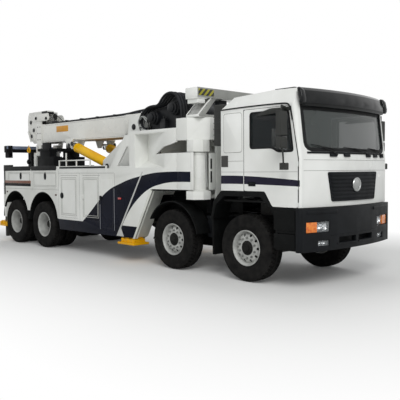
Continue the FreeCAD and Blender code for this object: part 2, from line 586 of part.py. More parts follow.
sleeves = [box(body_rear_x - 216, body_rear_x - 60, s * 1080 - 116, s * 1080 + 116, 900, 1520).cut(
    box(body_rear_x - 206, body_rear_x - 74, s * 1080 - 106, s * 1080 + 106, 890, 1510)) for s in (-1, 1)]
hinge_ears = [plate_xz([(body_rear_x - 60, 520), (hinge_x - 80, 520), (hinge_x - 80, 760),
                        (body_rear_x - 60, 900)],
                       s * 185 - 25, s * 185 + 25) for s in (-1, 1)]
hinge_pin = rod(Vector(hinge_x, -215, hinge_z), Vector(hinge_x, 215, hinge_z), 45)
write("work_deck", fuse(deck, *bearers, tail, *tail_posts, *tail_links, *mast_posts, *mast_ties, *cradle,
                        *sleeves, *hinge_ears,
                        hinge_pin))
hook_x = mast_x - 75
hooks = []
for y, top, drop in ((-150, 2534, 150), (150, 2534, 150), (-60, 2290, 60), (60, 2290, 60)):
    eye = Vector(hook_x - 60, y, top - 42)
    loop = Part.makeTorus(30, 11, eye, AXIS_Y)
    shank = rod(eye - AXIS_Z * 28, eye - AXIS_Z * drop, 17)
    hang = box(hook_x - 80, hook_x + 15, y - 20, y + 20, eye.z - drop - 40, eye.z - drop)
    hooks.append(fuse(loop, shank, hang))
write("tow_hooks", *hooks)

rest_x0, rest_x1 = front_axle_x - 8060, front_axle_x - 7220
rest_sides = [box(rest_x0, rest_x1, s * 345 - 125, s * 345 + 125, deck_z1, 2200) for s in (-1, 1)]
rest_pillars = [box(rest_x0 + 110, rest_x1 - 230, s * 345 - 105, s * 345 + 105, 2190, 2360) for s in (-1,
    1)]
rest_foot = box(rest_x0 + 80, rest_x1 - 80, -230, 230, deck_z1, 1800)
rest_top = box(rest_x0 + 20, rest_x1 - 220, -470, 470, 2350, 2420)
rest_lips = [box(rest_x0 + 120, rest_x1 - 320, s * 360 - 25, s * 360 + 25, 2410, 2570) for s in (-1, 1)]
rest = fuse(rest_foot, *rest_sides, *rest_pillars, rest_top, *rest_lips)
write("boom_rest", rest)


# ---------------------------------------------------------------- tower that carries the boom and the winches
tower_front_x = front_axle_x - 2780
shelf_z = 2520.0
deck_front_x = front_axle_x - 1576
beam_x0, beam_x1 = front_axle_x - 1570, front_axle_x - 1000   # transverse beam of the front stabilisers
beam_z0, beam_z1 = 2350.0, 2740.0


def tower_side():
    """A-frame side plate with its long triangular opening, the recessed wall and the upper beam."""
    plate = plate_xz([(front_axle_x - 3640, body_top_z), (front_axle_x - 3100, 2520), (front_axle_x - 2990,
        shelf_z + 60),
                      (tower_front_x, shelf_z + 60), (tower_front_x, body_top_z)], -body_half,
                      -body_half + skin)
    opening = plate_xz([(front_axle_x - 3370, 1910), (front_axle_x - 3050, 2290), (front_axle_x - 2985,
        2290),
                        (front_axle_x - 2965, 2240), (front_axle_x - 2965, 1910)], -body_half - 10,
                        -body_half + skin + 10)
    wall_line = [(tower_front_x, -930), (front_axle_x - 1900, -body_half), (front_axle_x - 1900,
        -body_half + skin),
                 (tower_front_x, -930 + skin)]
    recess = plate_xy(wall_line, body_top_z, shelf_z)
    facet = box(tower_front_x - skin, tower_front_x, -body_half, -890, body_top_z, shelf_z + 60)
    beam = box(front_axle_x - 1900, deck_front_x, -body_half, -body_half + skin, 2130, shelf_z)
    slot = plate_xz([(front_axle_x - 2330, 2129), (front_axle_x - 2000, 2240), (front_axle_x - 1730, 2290),
                     (deck_front_x + 10, 2330), (deck_front_x + 10, 2129)], -body_half - 10, -800)
    inner_y = -body_half + skin
    slope = [(inner_y, body_top_z - 30), (inner_y, body_top_z + 6), (-890, 2030), (-890, body_top_z - 30)]
    shoulder = plate_xy([(tower_front_x - 30, inner_y), (front_axle_x - 1905, inner_y),
                         (tower_front_x, -895),
                         (tower_front_x - 30, -895)], body_top_z - 30, 2040)
    shoulder = shoulder.common(plate_yz(slope, tower_front_x - 40, front_axle_x - 1900))
    return cut(fuse(cut(plate, opening), recess, facet, beam, shoulder), slot)


shelf = box(front_axle_x - 3960, deck_front_x, -body_half, body_half, shelf_z, shelf_z + 60)
shelf_notch = [box(front_axle_x - 3970, front_axle_x - 2990, s * 625, s * 1300, shelf_z - 5, shelf_z + 65)
               for s in (-1, 1)]
boom_bay = box(front_axle_x - 3970, pivot.x + 200, -450, 450, shelf_z - 5, shelf_z + 65)
inner_plates = [plate_xz([(front_axle_x - 4780, deck_z1), (front_axle_x - 4780, 2050), (front_axle_x - 3960,
    shelf_z),
                          (front_axle_x - 2800, shelf_z), (front_axle_x - 2800, deck_z1)], s * 600 - 20,
                          s * 600 + 20)
                for s in (-1, 1)]
lift_lugs = [rod(Vector(lift_pin.x, s * 345, lift_pin.z), Vector(lift_pin.x, s * 590, lift_pin.z), 40)
             for s in (-1, 1)]
inner_lugs = [plate_xz([(front_axle_x - 4760, deck_z1), (front_axle_x - 4760, 2030), (front_axle_x - 4480,
    2030),
                        (front_axle_x - 4200, deck_z1)], s * 330 - 18, s * 330 + 18) for s in (-1, 1)]
cheeks = [plate_xz([(pivot.x - 230, shelf_z + 30), (pivot.x - 170, 2990), (pivot.x + 190, 2990),
                    (pivot.x + 420, 2800),
                    (pivot.x + 420, shelf_z + 30)], s * 500 - 25, s * 500 + 25) for s in (-1, 1)]
pins = rod(Vector(pivot.x, -540, pivot.z), Vector(pivot.x, 540, pivot.z), 50)
front_wall = box(front_axle_x - 1050, front_axle_x - 1010, -800, 800, 1300, 2350)
wall_stays = [box(front_axle_x - 1250, front_axle_x - 1045, s * 640 - 40, s * 640 + 40, z, z + 60)
              for s in (-1, 1)
              for z in (1320, 2250)]
saddle = [box(x - 60, x + 60, -700, 700, rail_z1, 1140) for x in (front_axle_x - 1300, front_axle_x - 3200)]
posts = [box(x - 60, x + 60, s * 640 - 60, s * 640 + 60, 1120, z) for s in (-1, 1)
         for x, z in ((front_axle_x - 1300, beam_z0), (front_axle_x - 3200, shelf_z + 30))]
tower = fuse(shelf, *both(tower_side()), *inner_plates)
tower = cut(tower, *shelf_notch, boom_bay)
write("tower", fuse(tower, *lift_lugs, *inner_lugs, *cheeks, pins, front_wall, *wall_stays, *posts,
                    *saddle))

winches = []
for x, z, r in ((front_axle_x - 3020, 2890, 195), (front_axle_x - 2390, 3040, 260)):
    drum = rod(Vector(x, -420, z), Vector(x, 420, z), r - 50)
    cheeks_w = [rod(Vector(x, y, z), Vector(x, y + 30, z), r) for y in (-450, 420)]
    feet = [box(x - 120, x + 120, y, y + 60, shelf_z + 60, z) for y in (-510, 450)]
    motor = rod(Vector(x, 450, z), Vector(x, 700, z), 110)
    gearbox = rod(Vector(x, -700, z), Vector(x, -450, z), 140)
    winches.append(fuse(drum, *cheeks_w, *feet, motor, gearbox))
write("winches", *winches)


# ---------------------------------------------------------------- front stabilisers and lamp gantry
housing = box(deck_front_x, beam_x1, -800, 800, beam_z0, beam_z1).cut(
    box(beam_x0 + 40, beam_x1 - 40, -810, 810, beam_z0 + 40, beam_z1 - 40))
gantry = box(front_axle_x - 1340, front_axle_x - 1030, -1230, 1230, 3085, 3250)
stay_x0, stay_x1 = front_axle_x - 1380, front_axle_x - 1050
stay_line = [(-1180, beam_z1 + 8), (-1060, beam_z1 + 8), (-740, 3095), (-860, 3095)]
gantry_stays = [plate_yz([(s * -y, z) for y, z in stay_line], stay_x0, stay_x1) for s in (-1, 1)]
stay_feet = [plate_yz([(s * 660, beam_z1 - 5), (s * 795, beam_z1 - 5), (s * 795, beam_z1 + 8),
                       (s * 1180, beam_z1 + 8),
                       (s * 1180, beam_z1 + 50), (s * 660, beam_z1 + 50)], stay_x0, stay_x1) for s in (-1,
                           1)]
write("front_beam", fuse(housing, gantry, *gantry_stays, *stay_feet))
jack_x, jack_y = front_axle_x - 1230, -1030.0


def octagon(x, y, across, z0, z1):
    r = across / 2 / math.cos(math.pi / 8)
    points = [(x + r * math.cos(math.pi * (2 * k + 1) / 8), y + r * math.sin(math.pi * (2 * k + 1) / 8))
              for k in range(8)]
    return plate_xy(points, z0, z1)


for name, side in SIDES:
    end_box = plate_xy([(beam_x0, -805), (beam_x0, -body_half), (front_axle_x - 1280, -body_half),
                        (beam_x1, -960),
                        (beam_x1, -805)], beam_z0, beam_z1)
    middle_x = (beam_x0 + beam_x1) / 2
    tongue_x0, tongue_x1 = (beam_x0 + 52, middle_x - 6) if side < 0 else (middle_x + 6, beam_x1 - 52)
    tongue = box(tongue_x0, tongue_x1, -810, 740, beam_z0 + 52, beam_z1 - 52)
    cover = box(cover_x, post_x, -body_half, -body_half + skin, arch_z, 2130)
    cover_ties = [box(jack_x - 40, jack_x + 40, -body_half + skin - 5, jack_y - 100, z, z + 50)
                  for z in (1500, 2060)]
    collar = octagon(jack_x, jack_y, 400, 2140, beam_z0)
    tube = rod(Vector(jack_x, jack_y, 1440), Vector(jack_x, jack_y, 2150), 115)
    foot = octagon(jack_x, jack_y, 430, 1300, 1450)
    write(f"front_stabiliser_{name}", on_side(fuse(end_box, tongue, collar, tube, foot, cover, *cover_ties),
                                              side))


# ---------------------------------------------------------------- stabiliser legs
for name, side in SIDES:
    leg_foot = Vector(front_low_x - 150, 0, sill_z + 10)
    leg = raked_box(leg_foot, -90, 950, 98, -1190, -885)
    pad = box(front_axle_x - 3340, front_axle_x - 2790, -1300, -890, 350, 400)
    hump = plate_yz([(-1230, 400), (-1190, 490), (-1000, 490), (-960, 400)], front_axle_x - 3190,
                    front_axle_x - 2840)
    write(f"mid_leg_{name}", on_side(fuse(leg, pad, hump), side))
    tail_leg = box(body_rear_x - 200, body_rear_x - 80, -1180, -980, 480, 1450)
    tail_pad = box(body_rear_x - 380, body_rear_x - 20, -1260, -900, 380, 430)
    tail_hump = plate_yz([(-1200, 430), (-1150, 560), (-1010, 560), (-960, 430)], body_rear_x - 300,
                         body_rear_x - 60)
    write(f"rear_leg_{name}", on_side(fuse(tail_leg, tail_pad, tail_hump), side))


# ---------------------------------------------------------------- boom, drawn level and then tilted about its hinge
def tilted(shape):
    turned_shape = shape.copy()
    turned_shape.rotate(pivot, AXIS_Y, boom_tilt)
    return turned_shape


px, pz = pivot.x, pivot.z
outer = box(px - boom_len, px - 150, -boom_half, boom_half, pz + boom_low, pz + boom_high).cut(
    box(px - boom_len - 10, px - 260, -boom_half + 22, boom_half - 22, pz + boom_low + 22,
        pz + boom_high - 22))
foot_block = plate_xy([(px - 520, -boom_half), (px - 420, -440), (px + 120, -440), (px + 120, 440),
                       (px - 420, 440),
                       (px - 520, boom_half)], pz - 110, pz + 290)
foot_cut = box(px - 521, px - 260, -boom_half + 22, boom_half - 22, pz + boom_low + 22, pz + boom_high - 22)
bore = rod(Vector(px, -600, pz), Vector(px, 600, pz), 50.05)
ears = [plate_xz([(lift_eye.x - 170, pz + boom_low + 5), (lift_eye.x - 70, lift_eye.z - 50),
                  (lift_eye.x + 70, lift_eye.z - 50), (lift_eye.x + 200, pz + boom_low + 5)], s * y - 15,
                  s * y + 15)
        for s in (-1, 1) for y in (275, 605)]
ear_ties = [box(lift_eye.x - 170, lift_eye.x + 200, s * 255, s * 620, pz + boom_low, pz + boom_low + 22)
            for s in (-1, 1)]
collar = box(px - boom_len, px - boom_len + 110, -boom_half - 14, boom_half + 14, pz + boom_low - 14,
             pz + boom_high + 14).cut(
    box(px - boom_len - 1, px - boom_len + 111, -boom_half + 1, boom_half - 1, pz + boom_low + 1,
        pz + boom_high - 1))
base_boom = cut(fuse(cut(fuse(outer, foot_block), foot_cut), *ears, *ear_ties, collar), bore)
write("boom_base", tilted(base_boom))

inner_half = boom_half - 32
inner = box(px - boom_len - 60, px - 700, -inner_half, inner_half, pz + boom_low + 32,
            pz + boom_high - 32).cut(
    box(px - boom_len - 40, px - 690, -inner_half + 16, inner_half - 16, pz + boom_low + 48,
        pz + boom_high - 48))
head_x = px - boom_len - 60
head_line = [(15, 420), (370, 420), (400, 470), (370, 580), (300, 650), (-660, 650), (-715, 560),
             (-735, 420),
             (-720, 60), (-600, -80), (-400, -190), (15, -200)]
head_cheeks = [plate_xz([(head_x + x, pz + z) for x, z in head_line], s * 230 - 14, s * 230 + 14)
               for s in (-1, 1)]
head_plate = box(head_x - 20, head_x, -inner_half, inner_half, pz - 150, pz + 300)
sheave_places = ((150, -560, 400), (150, -400, 180), (110, -520, 20),
                 (90, 120, 530))   # radius, place along, height
sheaves = [turned([(0, y - 20), (r, y - 20), (r - 25, y), (r, y + 20), (0, y + 20)], Vector(head_x + dx, 0,
    pz + dz))
           for r, dx, dz in sheave_places for y in (-120, 120)]
sheave_pins = [rod(Vector(head_x + dx, -250, pz + dz), Vector(head_x + dx, 250, pz + dz), 30)
               for _, dx, dz in sheave_places]
roof_plate = box(head_x - 650, head_x + 360, -245, 245, pz + 640, pz + 670)
write("boom_inner", tilted(fuse(inner, *head_cheeks, head_plate, *sheaves, *sheave_pins, roof_plate)))


# ---------------------------------------------------------------- boom lift cylinders
stroke_line = lift_eye - lift_pin
along = Vector(stroke_line).normalize()
barrel_len = stroke_line.Length - 140
barrels, rods = [], []
for s in (-1, 1):
    low = lift_pin + Vector(0, s * lift_y, 0)
    eye = lift_eye + Vector(0, s * lift_y, 0)
    barrel = rod(low + along * 60, low + along * barrel_len, 105).cut(
        rod(low + along * 130, low + along * (barrel_len + 10), 78))
    boss = rod(low - AXIS_Y * 70, low + AXIS_Y * 70, 85)
    bush = rod(low - AXIS_Y * 130, low + AXIS_Y * 130, 40.05)
    barrels.append(cut(fuse(barrel, boss), bush))
    piston = rod(low + along * 150, low + along * 250, 77.95)
    stem = rod(low + along * 240, eye, 50)
    eye_ring = rod(eye - AXIS_Y * 60, eye + AXIS_Y * 60, 78)
    rods.append(fuse(piston, stem, eye_ring))
write("boom_cylinder_barrels", *barrels)
write("boom_cylinder_rods", *rods)


# ---------------------------------------------------------------- underlift, folded up behind the tail
def underlift_bar(half_x, half_y, z0, z1):
    return box(hinge_x - half_x, hinge_x + half_x, -half_y, half_y, hinge_z + z0, hinge_z + z1)


hinge_bore = rod(Vector(hinge_x, -160, hinge_z), Vector(hinge_x, 160, hinge_z), 45.05)
arm = underlift_bar(95, 120, 60, 1500).cut(underlift_bar(75, 100, 150, 1510))
arm_hub = rod(Vector(hinge_x, -150, hinge_z), Vector(hinge_x, 150, hinge_z), 95)
arm_neck = underlift_bar(95, 120, 0, 150)
write("underlift_arm", cut(fuse(arm, arm_hub, arm_neck), hinge_bore))
fork_pin_z = hinge_z + 1650
fork_y, cross_bar_half = 740.0, 845.0
fork_ends = [box(hinge_x - 95, hinge_x + 95, s * fork_y - 60, s * fork_y + 60, hinge_z + 1560,
                 hinge_z + 1895).cut(
    rod(Vector(hinge_x - 100, s * fork_y, fork_pin_z), Vector(hinge_x + 100, s * fork_y, fork_pin_z), 28))
    for s in (-1, 1)]
write("underlift_stinger", fuse(underlift_bar(68, 94, 260, 1700), underlift_bar(90, 120, 1620, 1740),
                                underlift_bar(75, cross_bar_half, 1710, 1885), *fork_ends))
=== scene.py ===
# Looks of the heavy recovery truck: every visible surface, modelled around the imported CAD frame.
import json
import math

import bpy
from mathutils import Matrix, Vector

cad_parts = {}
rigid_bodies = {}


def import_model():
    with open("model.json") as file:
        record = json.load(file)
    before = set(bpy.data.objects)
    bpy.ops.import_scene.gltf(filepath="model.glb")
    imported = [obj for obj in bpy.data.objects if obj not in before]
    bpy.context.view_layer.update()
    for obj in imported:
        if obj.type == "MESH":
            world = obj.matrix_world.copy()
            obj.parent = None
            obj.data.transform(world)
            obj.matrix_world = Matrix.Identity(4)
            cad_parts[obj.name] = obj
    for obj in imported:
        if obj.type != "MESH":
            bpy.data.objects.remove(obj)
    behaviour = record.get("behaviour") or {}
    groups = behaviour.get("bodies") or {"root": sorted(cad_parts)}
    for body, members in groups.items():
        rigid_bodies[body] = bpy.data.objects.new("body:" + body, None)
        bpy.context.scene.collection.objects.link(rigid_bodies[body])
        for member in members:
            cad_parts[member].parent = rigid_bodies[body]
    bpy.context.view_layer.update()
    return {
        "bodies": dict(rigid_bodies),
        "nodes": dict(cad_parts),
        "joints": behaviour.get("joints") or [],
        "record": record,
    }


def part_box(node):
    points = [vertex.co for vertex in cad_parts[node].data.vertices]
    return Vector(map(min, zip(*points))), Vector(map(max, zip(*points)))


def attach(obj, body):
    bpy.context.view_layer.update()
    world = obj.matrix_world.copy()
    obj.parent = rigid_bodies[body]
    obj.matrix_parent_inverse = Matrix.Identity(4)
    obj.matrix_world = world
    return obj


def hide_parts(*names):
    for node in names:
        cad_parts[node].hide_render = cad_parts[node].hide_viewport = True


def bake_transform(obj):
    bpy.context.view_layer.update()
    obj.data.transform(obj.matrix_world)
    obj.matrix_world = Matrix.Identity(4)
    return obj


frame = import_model()
for plain in list(bpy.data.materials):
    bpy.data.materials.remove(plain)

# ---------------------------------------------------------------- places, worked out from the frame
AXLE_X = [sum(c.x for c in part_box(f"axle_{n}_right_tyre{'s' if n > 2 else ''}")) / 2 for n in (1, 2, 3, 4)]
FRONT = AXLE_X[0]                       # the first axle: most places are counted from it
TYRE_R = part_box("axle_1_right_tyre")[1].z / 2
STEER_Y = -sum(c.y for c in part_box("axle_1_right_tyre")) / 2
BODY_Y = -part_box("lockers_right")[0].y   # half width of the recovery body
CAB_Y = -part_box("cab_shell")[0].y        # half width of the cab
BODY_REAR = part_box("lockers_right")[0].x
SIDES = (("right", -1), ("left", 1))
UP = Vector((0, 0, 1))


# ---------------------------------------------------------------- modelling helpers
def deselect():
    if bpy.context.object and bpy.context.object.mode != "OBJECT":
        bpy.ops.object.mode_set(mode="OBJECT")
    bpy.ops.object.select_all(action="DESELECT")


def only(obj):
    """Makes obj the one selected and active object."""
    deselect()
    obj.select_set(True)
    bpy.context.view_layer.objects.active = obj
    return obj


def edit(obj, faces=None):
    """Enters edit mode with the faces chosen that the test picks by centre and normal, or else with all."""
    only(obj)
    mesh = obj.data
    for part in (mesh.vertices, mesh.edges, mesh.polygons):
        part.foreach_set("select", [False] * len(part))
    if faces:
        for face in mesh.polygons:
            face.select = bool(faces(face.center, face.normal))
    bpy.ops.object.mode_set(mode="EDIT")
    bpy.ops.mesh.select_mode(type="FACE")
    if not faces:
        bpy.ops.mesh.select_all(action="SELECT")


def done(obj, smooth=30):
    """Leaves edit mode and shades smooth up to an angle."""
    only(obj)
    bpy.ops.object.shade_smooth_by_angle(angle=math.radians(smooth))
    return obj


def apply_modifier(obj, kind, **settings):
    only(obj)
    modifier = obj.modifiers.new(kind.title(), kind)
    for key, value in settings.items():
        setattr(modifier, key, value)
    bpy.ops.object.modifier_apply(modifier=modifier.name)
    return obj


def bevel(obj, width, segments=2, angle=35):
    if width:
        apply_modifier(obj, "BEVEL", width=width, segments=segments, limit_method="ANGLE",
            angle_limit=math.radians(angle), harden_normals=False)
    return done(obj)


def block(name, x, y, z, round_off=0.004, segments=2):
    """A box from its ranges along X (from the first axle), Y and Z, with rounded edges."""
    low, high = Vector((FRONT + min(x), min(y), min(z))), Vector((FRONT + max(x), max(y), max(z)))
    deselect()
    bpy.ops.mesh.primitive_cube_add(size=1, location=(low + high) / 2, scale=high - low)
    obj = bpy.context.object
    obj.name = name
    bpy.ops.object.transform_apply(location=True, rotation=True, scale=True)
    return bevel(obj, min(round_off, min(high - low) * 0.3), segments)


def drawn(name, outline):
    """One flat face with the given corners, in order."""
    deselect()
    bpy.ops.mesh.primitive_circle_add(vertices=len(outline), fill_type="NGON")
    obj = bpy.context.object
    obj.name = name
    for vertex, point in zip(obj.data.vertices, outline):
        vertex.co = point
    return obj


def thickened(obj, push, round_off, segments):
    """Extrudes the chosen faces along push and rounds the edges."""
    bpy.ops.mesh.extrude_region_move(TRANSFORM_OT_translate={"value": push})
    bpy.ops.mesh.select_all(action="SELECT")
    bpy.ops.mesh.normals_make_consistent(inside=False)
    return bevel(obj, round_off, segments)


def plate(name, outline, push, round_off=0.003, segments=2):
    """A flat outline of 3-D points, in order, extruded along push, with rounded edges."""
    obj = drawn(name, outline)
    edit(obj)
    return thickened(obj, push, round_off, segments)


def side_plate(name, outline, y, thick, round_off=0.003):
    """A plate drawn as (X from the first axle, Z) at side position y, thick towards the outside."""
    return plate(name, [Vector((FRONT + x, y, z)) for x, z in outline], Vector((0, thick, 0)), round_off)


def lathe(name, profile, centre, axis="Y", steps=48, side=1):
    """Spins a profile of (radius, along) about an axis through centre."""
    deselect()
    along, out = {"Y": (Vector((0, side, 0)), UP), "Z": (UP, Vector((1, 0, 0))),
        "X": (Vector((side, 0, 0)), UP)}[axis]
    centre = Vector(centre)
    bpy.ops.mesh.primitive_circle_add(vertices=len(profile), fill_type="NOTHING")
    obj = bpy.context.object
    obj.name = name
    for vertex, (r, a) in zip(obj.data.vertices, profile):
        vertex.co = centre + out * r + along * a
    edit(obj)
    bpy.ops.mesh.spin(steps=steps, angle=2 * math.pi, center=centre, axis=along)
    bpy.ops.mesh.select_all(action="SELECT")
    bpy.ops.mesh.remove_doubles(threshold=0.00005)
    bpy.ops.mesh.dissolve_degenerate(threshold=0.00001)
    bpy.ops.mesh.select_all(action="SELECT")
    bpy.ops.mesh.normals_make_consistent(inside=False)
    return done(obj, 32)


def tube(name, points, radius, sides=3, smooth=True):
    """A round bar, pipe or hose along a smooth or straight line of points."""
    curve = bpy.data.curves.new(name, "CURVE")
    curve.dimensions = "3D"
    curve.bevel_depth = radius
    curve.bevel_resolution = sides
    curve.use_fill_caps = True
    spline = curve.splines.new("NURBS" if smooth else "POLY")
    spline.points.add(len(points) - 1)
    for item, point in zip(spline.points, points):
        item.co = (*point, 1)
    if smooth:
        spline.order_u = 3
        spline.use_endpoint_u = True
        curve.resolution_u = 6
    obj = bpy.data.objects.new(name, curve)
    bpy.context.scene.collection.objects.link(obj)
    only(obj)
    bpy.ops.object.convert(target="MESH")
    return done(bpy.context.object, 50)


def join(name, pieces):
    """Joins pieces into the first of them."""
    deselect()
    for piece in pieces:
        piece.select_set(True)
    bpy.context.view_layer.objects.active = pieces[0]
    if len(pieces) > 1:
        bpy.ops.object.join()
    pieces[0].name = name
    return pieces[0]


def blocks(name, ranges):
    """Rounded boxes joined into one piece: what block is given, for each."""
    return join(name, [block("part", *each) for each in ranges])


def copy_of(obj, name, offset=(0, 0, 0)):
    """An own copy of a piece, moved by an offset."""
    new = obj.copy()
    new.data = obj.data.copy()
    new.name = name
    bpy.context.scene.collection.objects.link(new)
    new.data.transform(Matrix.Translation(Vector(offset)))
    return new


def mirror_copy(obj, name):
    """The same piece on the other side of the truck, with its faces turned the right way."""
    new = copy_of(obj, name)
    new.data.transform(Matrix.Scale(-1, 4, Vector((0, 1, 0))))
    new.data.flip_normals()
    return new


def dress(obj, finish, replaces=(), body="chassis"):
    """Gives a piece its material, body and replaced nodes. None keeps the finishes it has."""
    if isinstance(finish, str):
        obj.data.materials.clear()
        obj.data.materials.append(MATERIALS[finish])
    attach(obj, body)
    if replaces:
        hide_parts(*replaces)
    return obj


def pair(obj, finish, replaces=(), body="chassis"):
    """Finishes a right-hand piece and its mirrored twin. {} in names stands for the side."""
    base = obj.name
    left = mirror_copy(obj, base + "_left")
    obj.name = base + "_right"
    for piece, side in ((obj, "right"), (left, "left")):
        dress(piece, finish, [n.format(side) for n in replaces], body.format(side))


def softened(node, width, name=None, segments=2):
    """A copy of a CAD node with its loose triangles merged into clean faces and its edges rounded."""
    new = copy_of(frame["nodes"][node], name or node + "_skin")
    new.parent = None
    edit(new)
    bpy.ops.mesh.remove_doubles(threshold=0.00002)
    bpy.ops.mesh.dissolve_limited(angle_limit=math.radians(0.6))
    return bevel(new, width, segments, 28)


def cad_skin(node, width, finish, name=None, segments=2, body="chassis"):
    """A CAD node with its edges rounded, finished and put in the node's place."""
    return dress(softened(node, width, name, segments), finish, [node], body)


def at(x, y, z):
    """A place whose x is counted from the first axle."""
    return Vector((FRONT + x, y, z))


def frame_plate(name, outline, push, width, round_off=0.002):
    """A flat frame, width wide, drawn by its outer corners and pushed to its thickness."""
    obj = drawn(name, outline)
    edit(obj)
    bpy.ops.mesh.inset(thickness=width)
    bpy.ops.mesh.delete(type="FACE")
    bpy.ops.mesh.select_all(action="SELECT")
    return thickened(obj, push, round_off, 2)


def rounded(corners, radius, steps=4):
    """An outline of 2-D corners with each corner rounded."""
    line = []
    for i, corner in enumerate(corners):
        here, before, after = Vector(corner), Vector(corners[i - 1]), Vector(corners[(i + 1) % len(corners)])
        reach = min(radius, (before - here).length / 2.01, (after - here).length / 2.01)
        start, end = here + (before - here).normalized() * reach, here + (after - here).normalized() * reach
        for k in range(steps + 1):
            t = k / steps
            line.append(tuple(start * (1 - t) ** 2 + here * 2 * t * (1 - t) + end * t * t))
    return line


def side_outline(corners, y, radius=0.0):
    """Corners (x from the first axle, z) as places at side position y."""
    return [at(x, y, z) for x, z in (rounded(corners, radius) if radius else corners)]


def facing(corners, x, radius=0.0):
    """Corners (y, z) as places at a distance x from the first axle."""
    return [at(x, y, z) for y, z in (rounded(corners, radius) if radius else corners)]


def rod(radius, start, stop):
    """The profile of a plain round bar, for lathe."""
    return [(0, start), (radius, start), (radius, stop), (0, stop)]


def rect(x0, x1, z0, z1):
    """The corners of a rectangle, in order."""
    return [(x0, z0), (x1, z0), (x1, z1), (x0, z1)]


def carve(obj, cutter, operation="DIFFERENCE"):
    """Cuts one closed piece with another, which is used up."""
    apply_modifier(obj, "BOOLEAN", operation=operation, object=cutter, solver="EXACT")
    bpy.data.objects.remove(cutter)
    return done(obj, 32)


def ring_of(obj, name, count, centre, axis="Y", start=0.0):
    """Copies of a small piece set round an axis through centre, joined into one."""
    turned = []
    for k in range(count):
        new = copy_of(obj, name)
        turn = Matrix.Rotation(start + 2 * math.pi * k / count, 4, axis)
        new.data.transform(Matrix.Translation(centre) @ turn @ Matrix.Translation(-centre))
        turned.append(new)
    bpy.data.objects.remove(obj)
    return join(name, turned)


def row_of(obj, name, offsets):
    """Copies of a piece at several offsets, joined with it into one."""
    return join(name, [obj] + [copy_of(obj, name, offset) for offset in offsets])


def hexagon(name, centre, across, length, axis="Y", side=1, chamfer=0.002):
    """A bolt head or nut, its base at centre, standing out along the axis."""
    r = across / math.sqrt(3)
    return lathe(name, [(0, 0), (r, 0), (r, length - chamfer), (r - chamfer, length), (0, length)], centre, axis, 6,
        side)


def ring_tube(name, centre, radius, thick, axis="Y", steps=32):
    """A round ring of round bar about an axis through centre."""
    profile = [(radius + thick * math.cos(2 * math.pi * k / 10), thick * math.sin(2 * math.pi * k / 10))
        for k in range(10)]
    return lathe(name, profile, centre, axis, steps)


def also(obj, finish, test):
    """Adds one more finish, on the faces that the test picks by centre and normal."""
    obj.data.materials.append(MATERIALS[finish])
    for face in obj.data.polygons:
        if test(face.center, face.normal):
            face.material_index = len(obj.data.materials) - 1
    return obj


def two_tone(obj, first, second, test):
    """Paints the whole piece, then the faces that the test picks by centre and normal in a second finish."""
    obj.data.materials.clear()
    obj.data.materials.append(MATERIALS[first])
    return also(obj, second, test)


# ---------------------------------------------------------------- materials
def linear(hex_colour):
    """sRGB hex to linear RGBA."""
    parts = [int(hex_colour[i:i + 2], 16) / 255 for i in (1, 3, 5)]
    return (*[p / 12.92 if p <= 0.04045 else ((p + 0.055) / 1.055) ** 2.4 for p in parts], 1.0)


def add(tree, kind, sockets=None, **settings):
    """Adds a shader node: its settings, then its sockets, each a value or another node's output."""
    new = tree.nodes.new("ShaderNode" + kind)
    for key, value in settings.items():
        setattr(new, key, value)
    for key, value in (sockets or {}).items():
        socket = new.inputs[key]
        if isinstance(value, bpy.types.NodeSocket):
            tree.links.new(value, socket)
        else:
            socket.default_value = value
    return new


MATERIALS = {}
SOCKETS = {"specular": "Specular IOR Level", "coat": "Coat Weight", "coat_rough": "Coat Roughness",
    "metal": "Metallic", "colour": "Base Color", "alpha": "Alpha", "ior": "IOR", "rough": "Roughness"}


def material(name, slot, build, **shader):
    """A material on a Principled shader: build(tree) returns the sockets that patterns drive."""
    mat = bpy.data.materials.new(name)
    mat.use_nodes = True
    tree = mat.node_tree
    tree.nodes.clear()
    driven = build(tree) if build else {}
    fixed = {SOCKETS[key]: value for key, value in shader.items()}
    surface = add(tree, "BsdfPrincipled", {**fixed, **driven})
    add(tree, "OutputMaterial", {"Surface": surface.outputs[0]})
    MATERIALS[name] = mat
    return mat


def place(tree):
    return add(tree, "TexCoord").outputs["Object"]


def cloudy(tree, low, high, size, detail=4.0, where=None):
    """Two close colours in clouds of a size in metres: dust and uneven fading."""
    noise = add(tree, "TexNoise", {"Vector": where or place(tree), "Scale": 1 / size, "Detail": detail})
    ramp = add(tree, "ValToRGB", {"Fac": noise.outputs["Fac"]})
    ramp.color_ramp.elements[0].position, ramp.color_ramp.elements[1].position = 0.35, 0.65
    ramp.color_ramp.elements[0].color, ramp.color_ramp.elements[1].color = linear(low), linear(high)
    return ramp.outputs["Color"]


def grain(tree, size, depth, strength=0.5):
    """Fine bumps of a size in metres."""
    noise = add(tree, "TexNoise", {"Vector": place(tree), "Scale": 1 / size, "Detail": 3.0})
    bump = add(tree, "Bump", {"Height": noise.outputs["Fac"], "Distance": depth, "Strength": strength})
    return bump.outputs["Normal"]


def roughness_clouds(tree, low, high, size):
    noise = add(tree, "TexNoise", {"Vector": place(tree), "Scale": 1 / size, "Detail": 5.0})
    spread = add(tree, "MapRange", {"Value": noise.outputs["Fac"], "From Min": 0.3, "From Max": 0.7,
        "To Min": low, "To Max": high})
    return spread.outputs["Result"]


def painted(low, high, cloud=0.9, rough=(0.22, 0.34), peel=0.02):
    """Sprayed enamel: nearly even colour, soft dust clouds, uneven gloss, faint orange peel."""
    def build(tree):
        return {"Base Color": cloudy(tree, low, high, cloud), "Roughness": roughness_clouds(tree, *rough, 0.35),
            "Normal": grain(tree, peel, 0.0006, 0.12)}
    return build


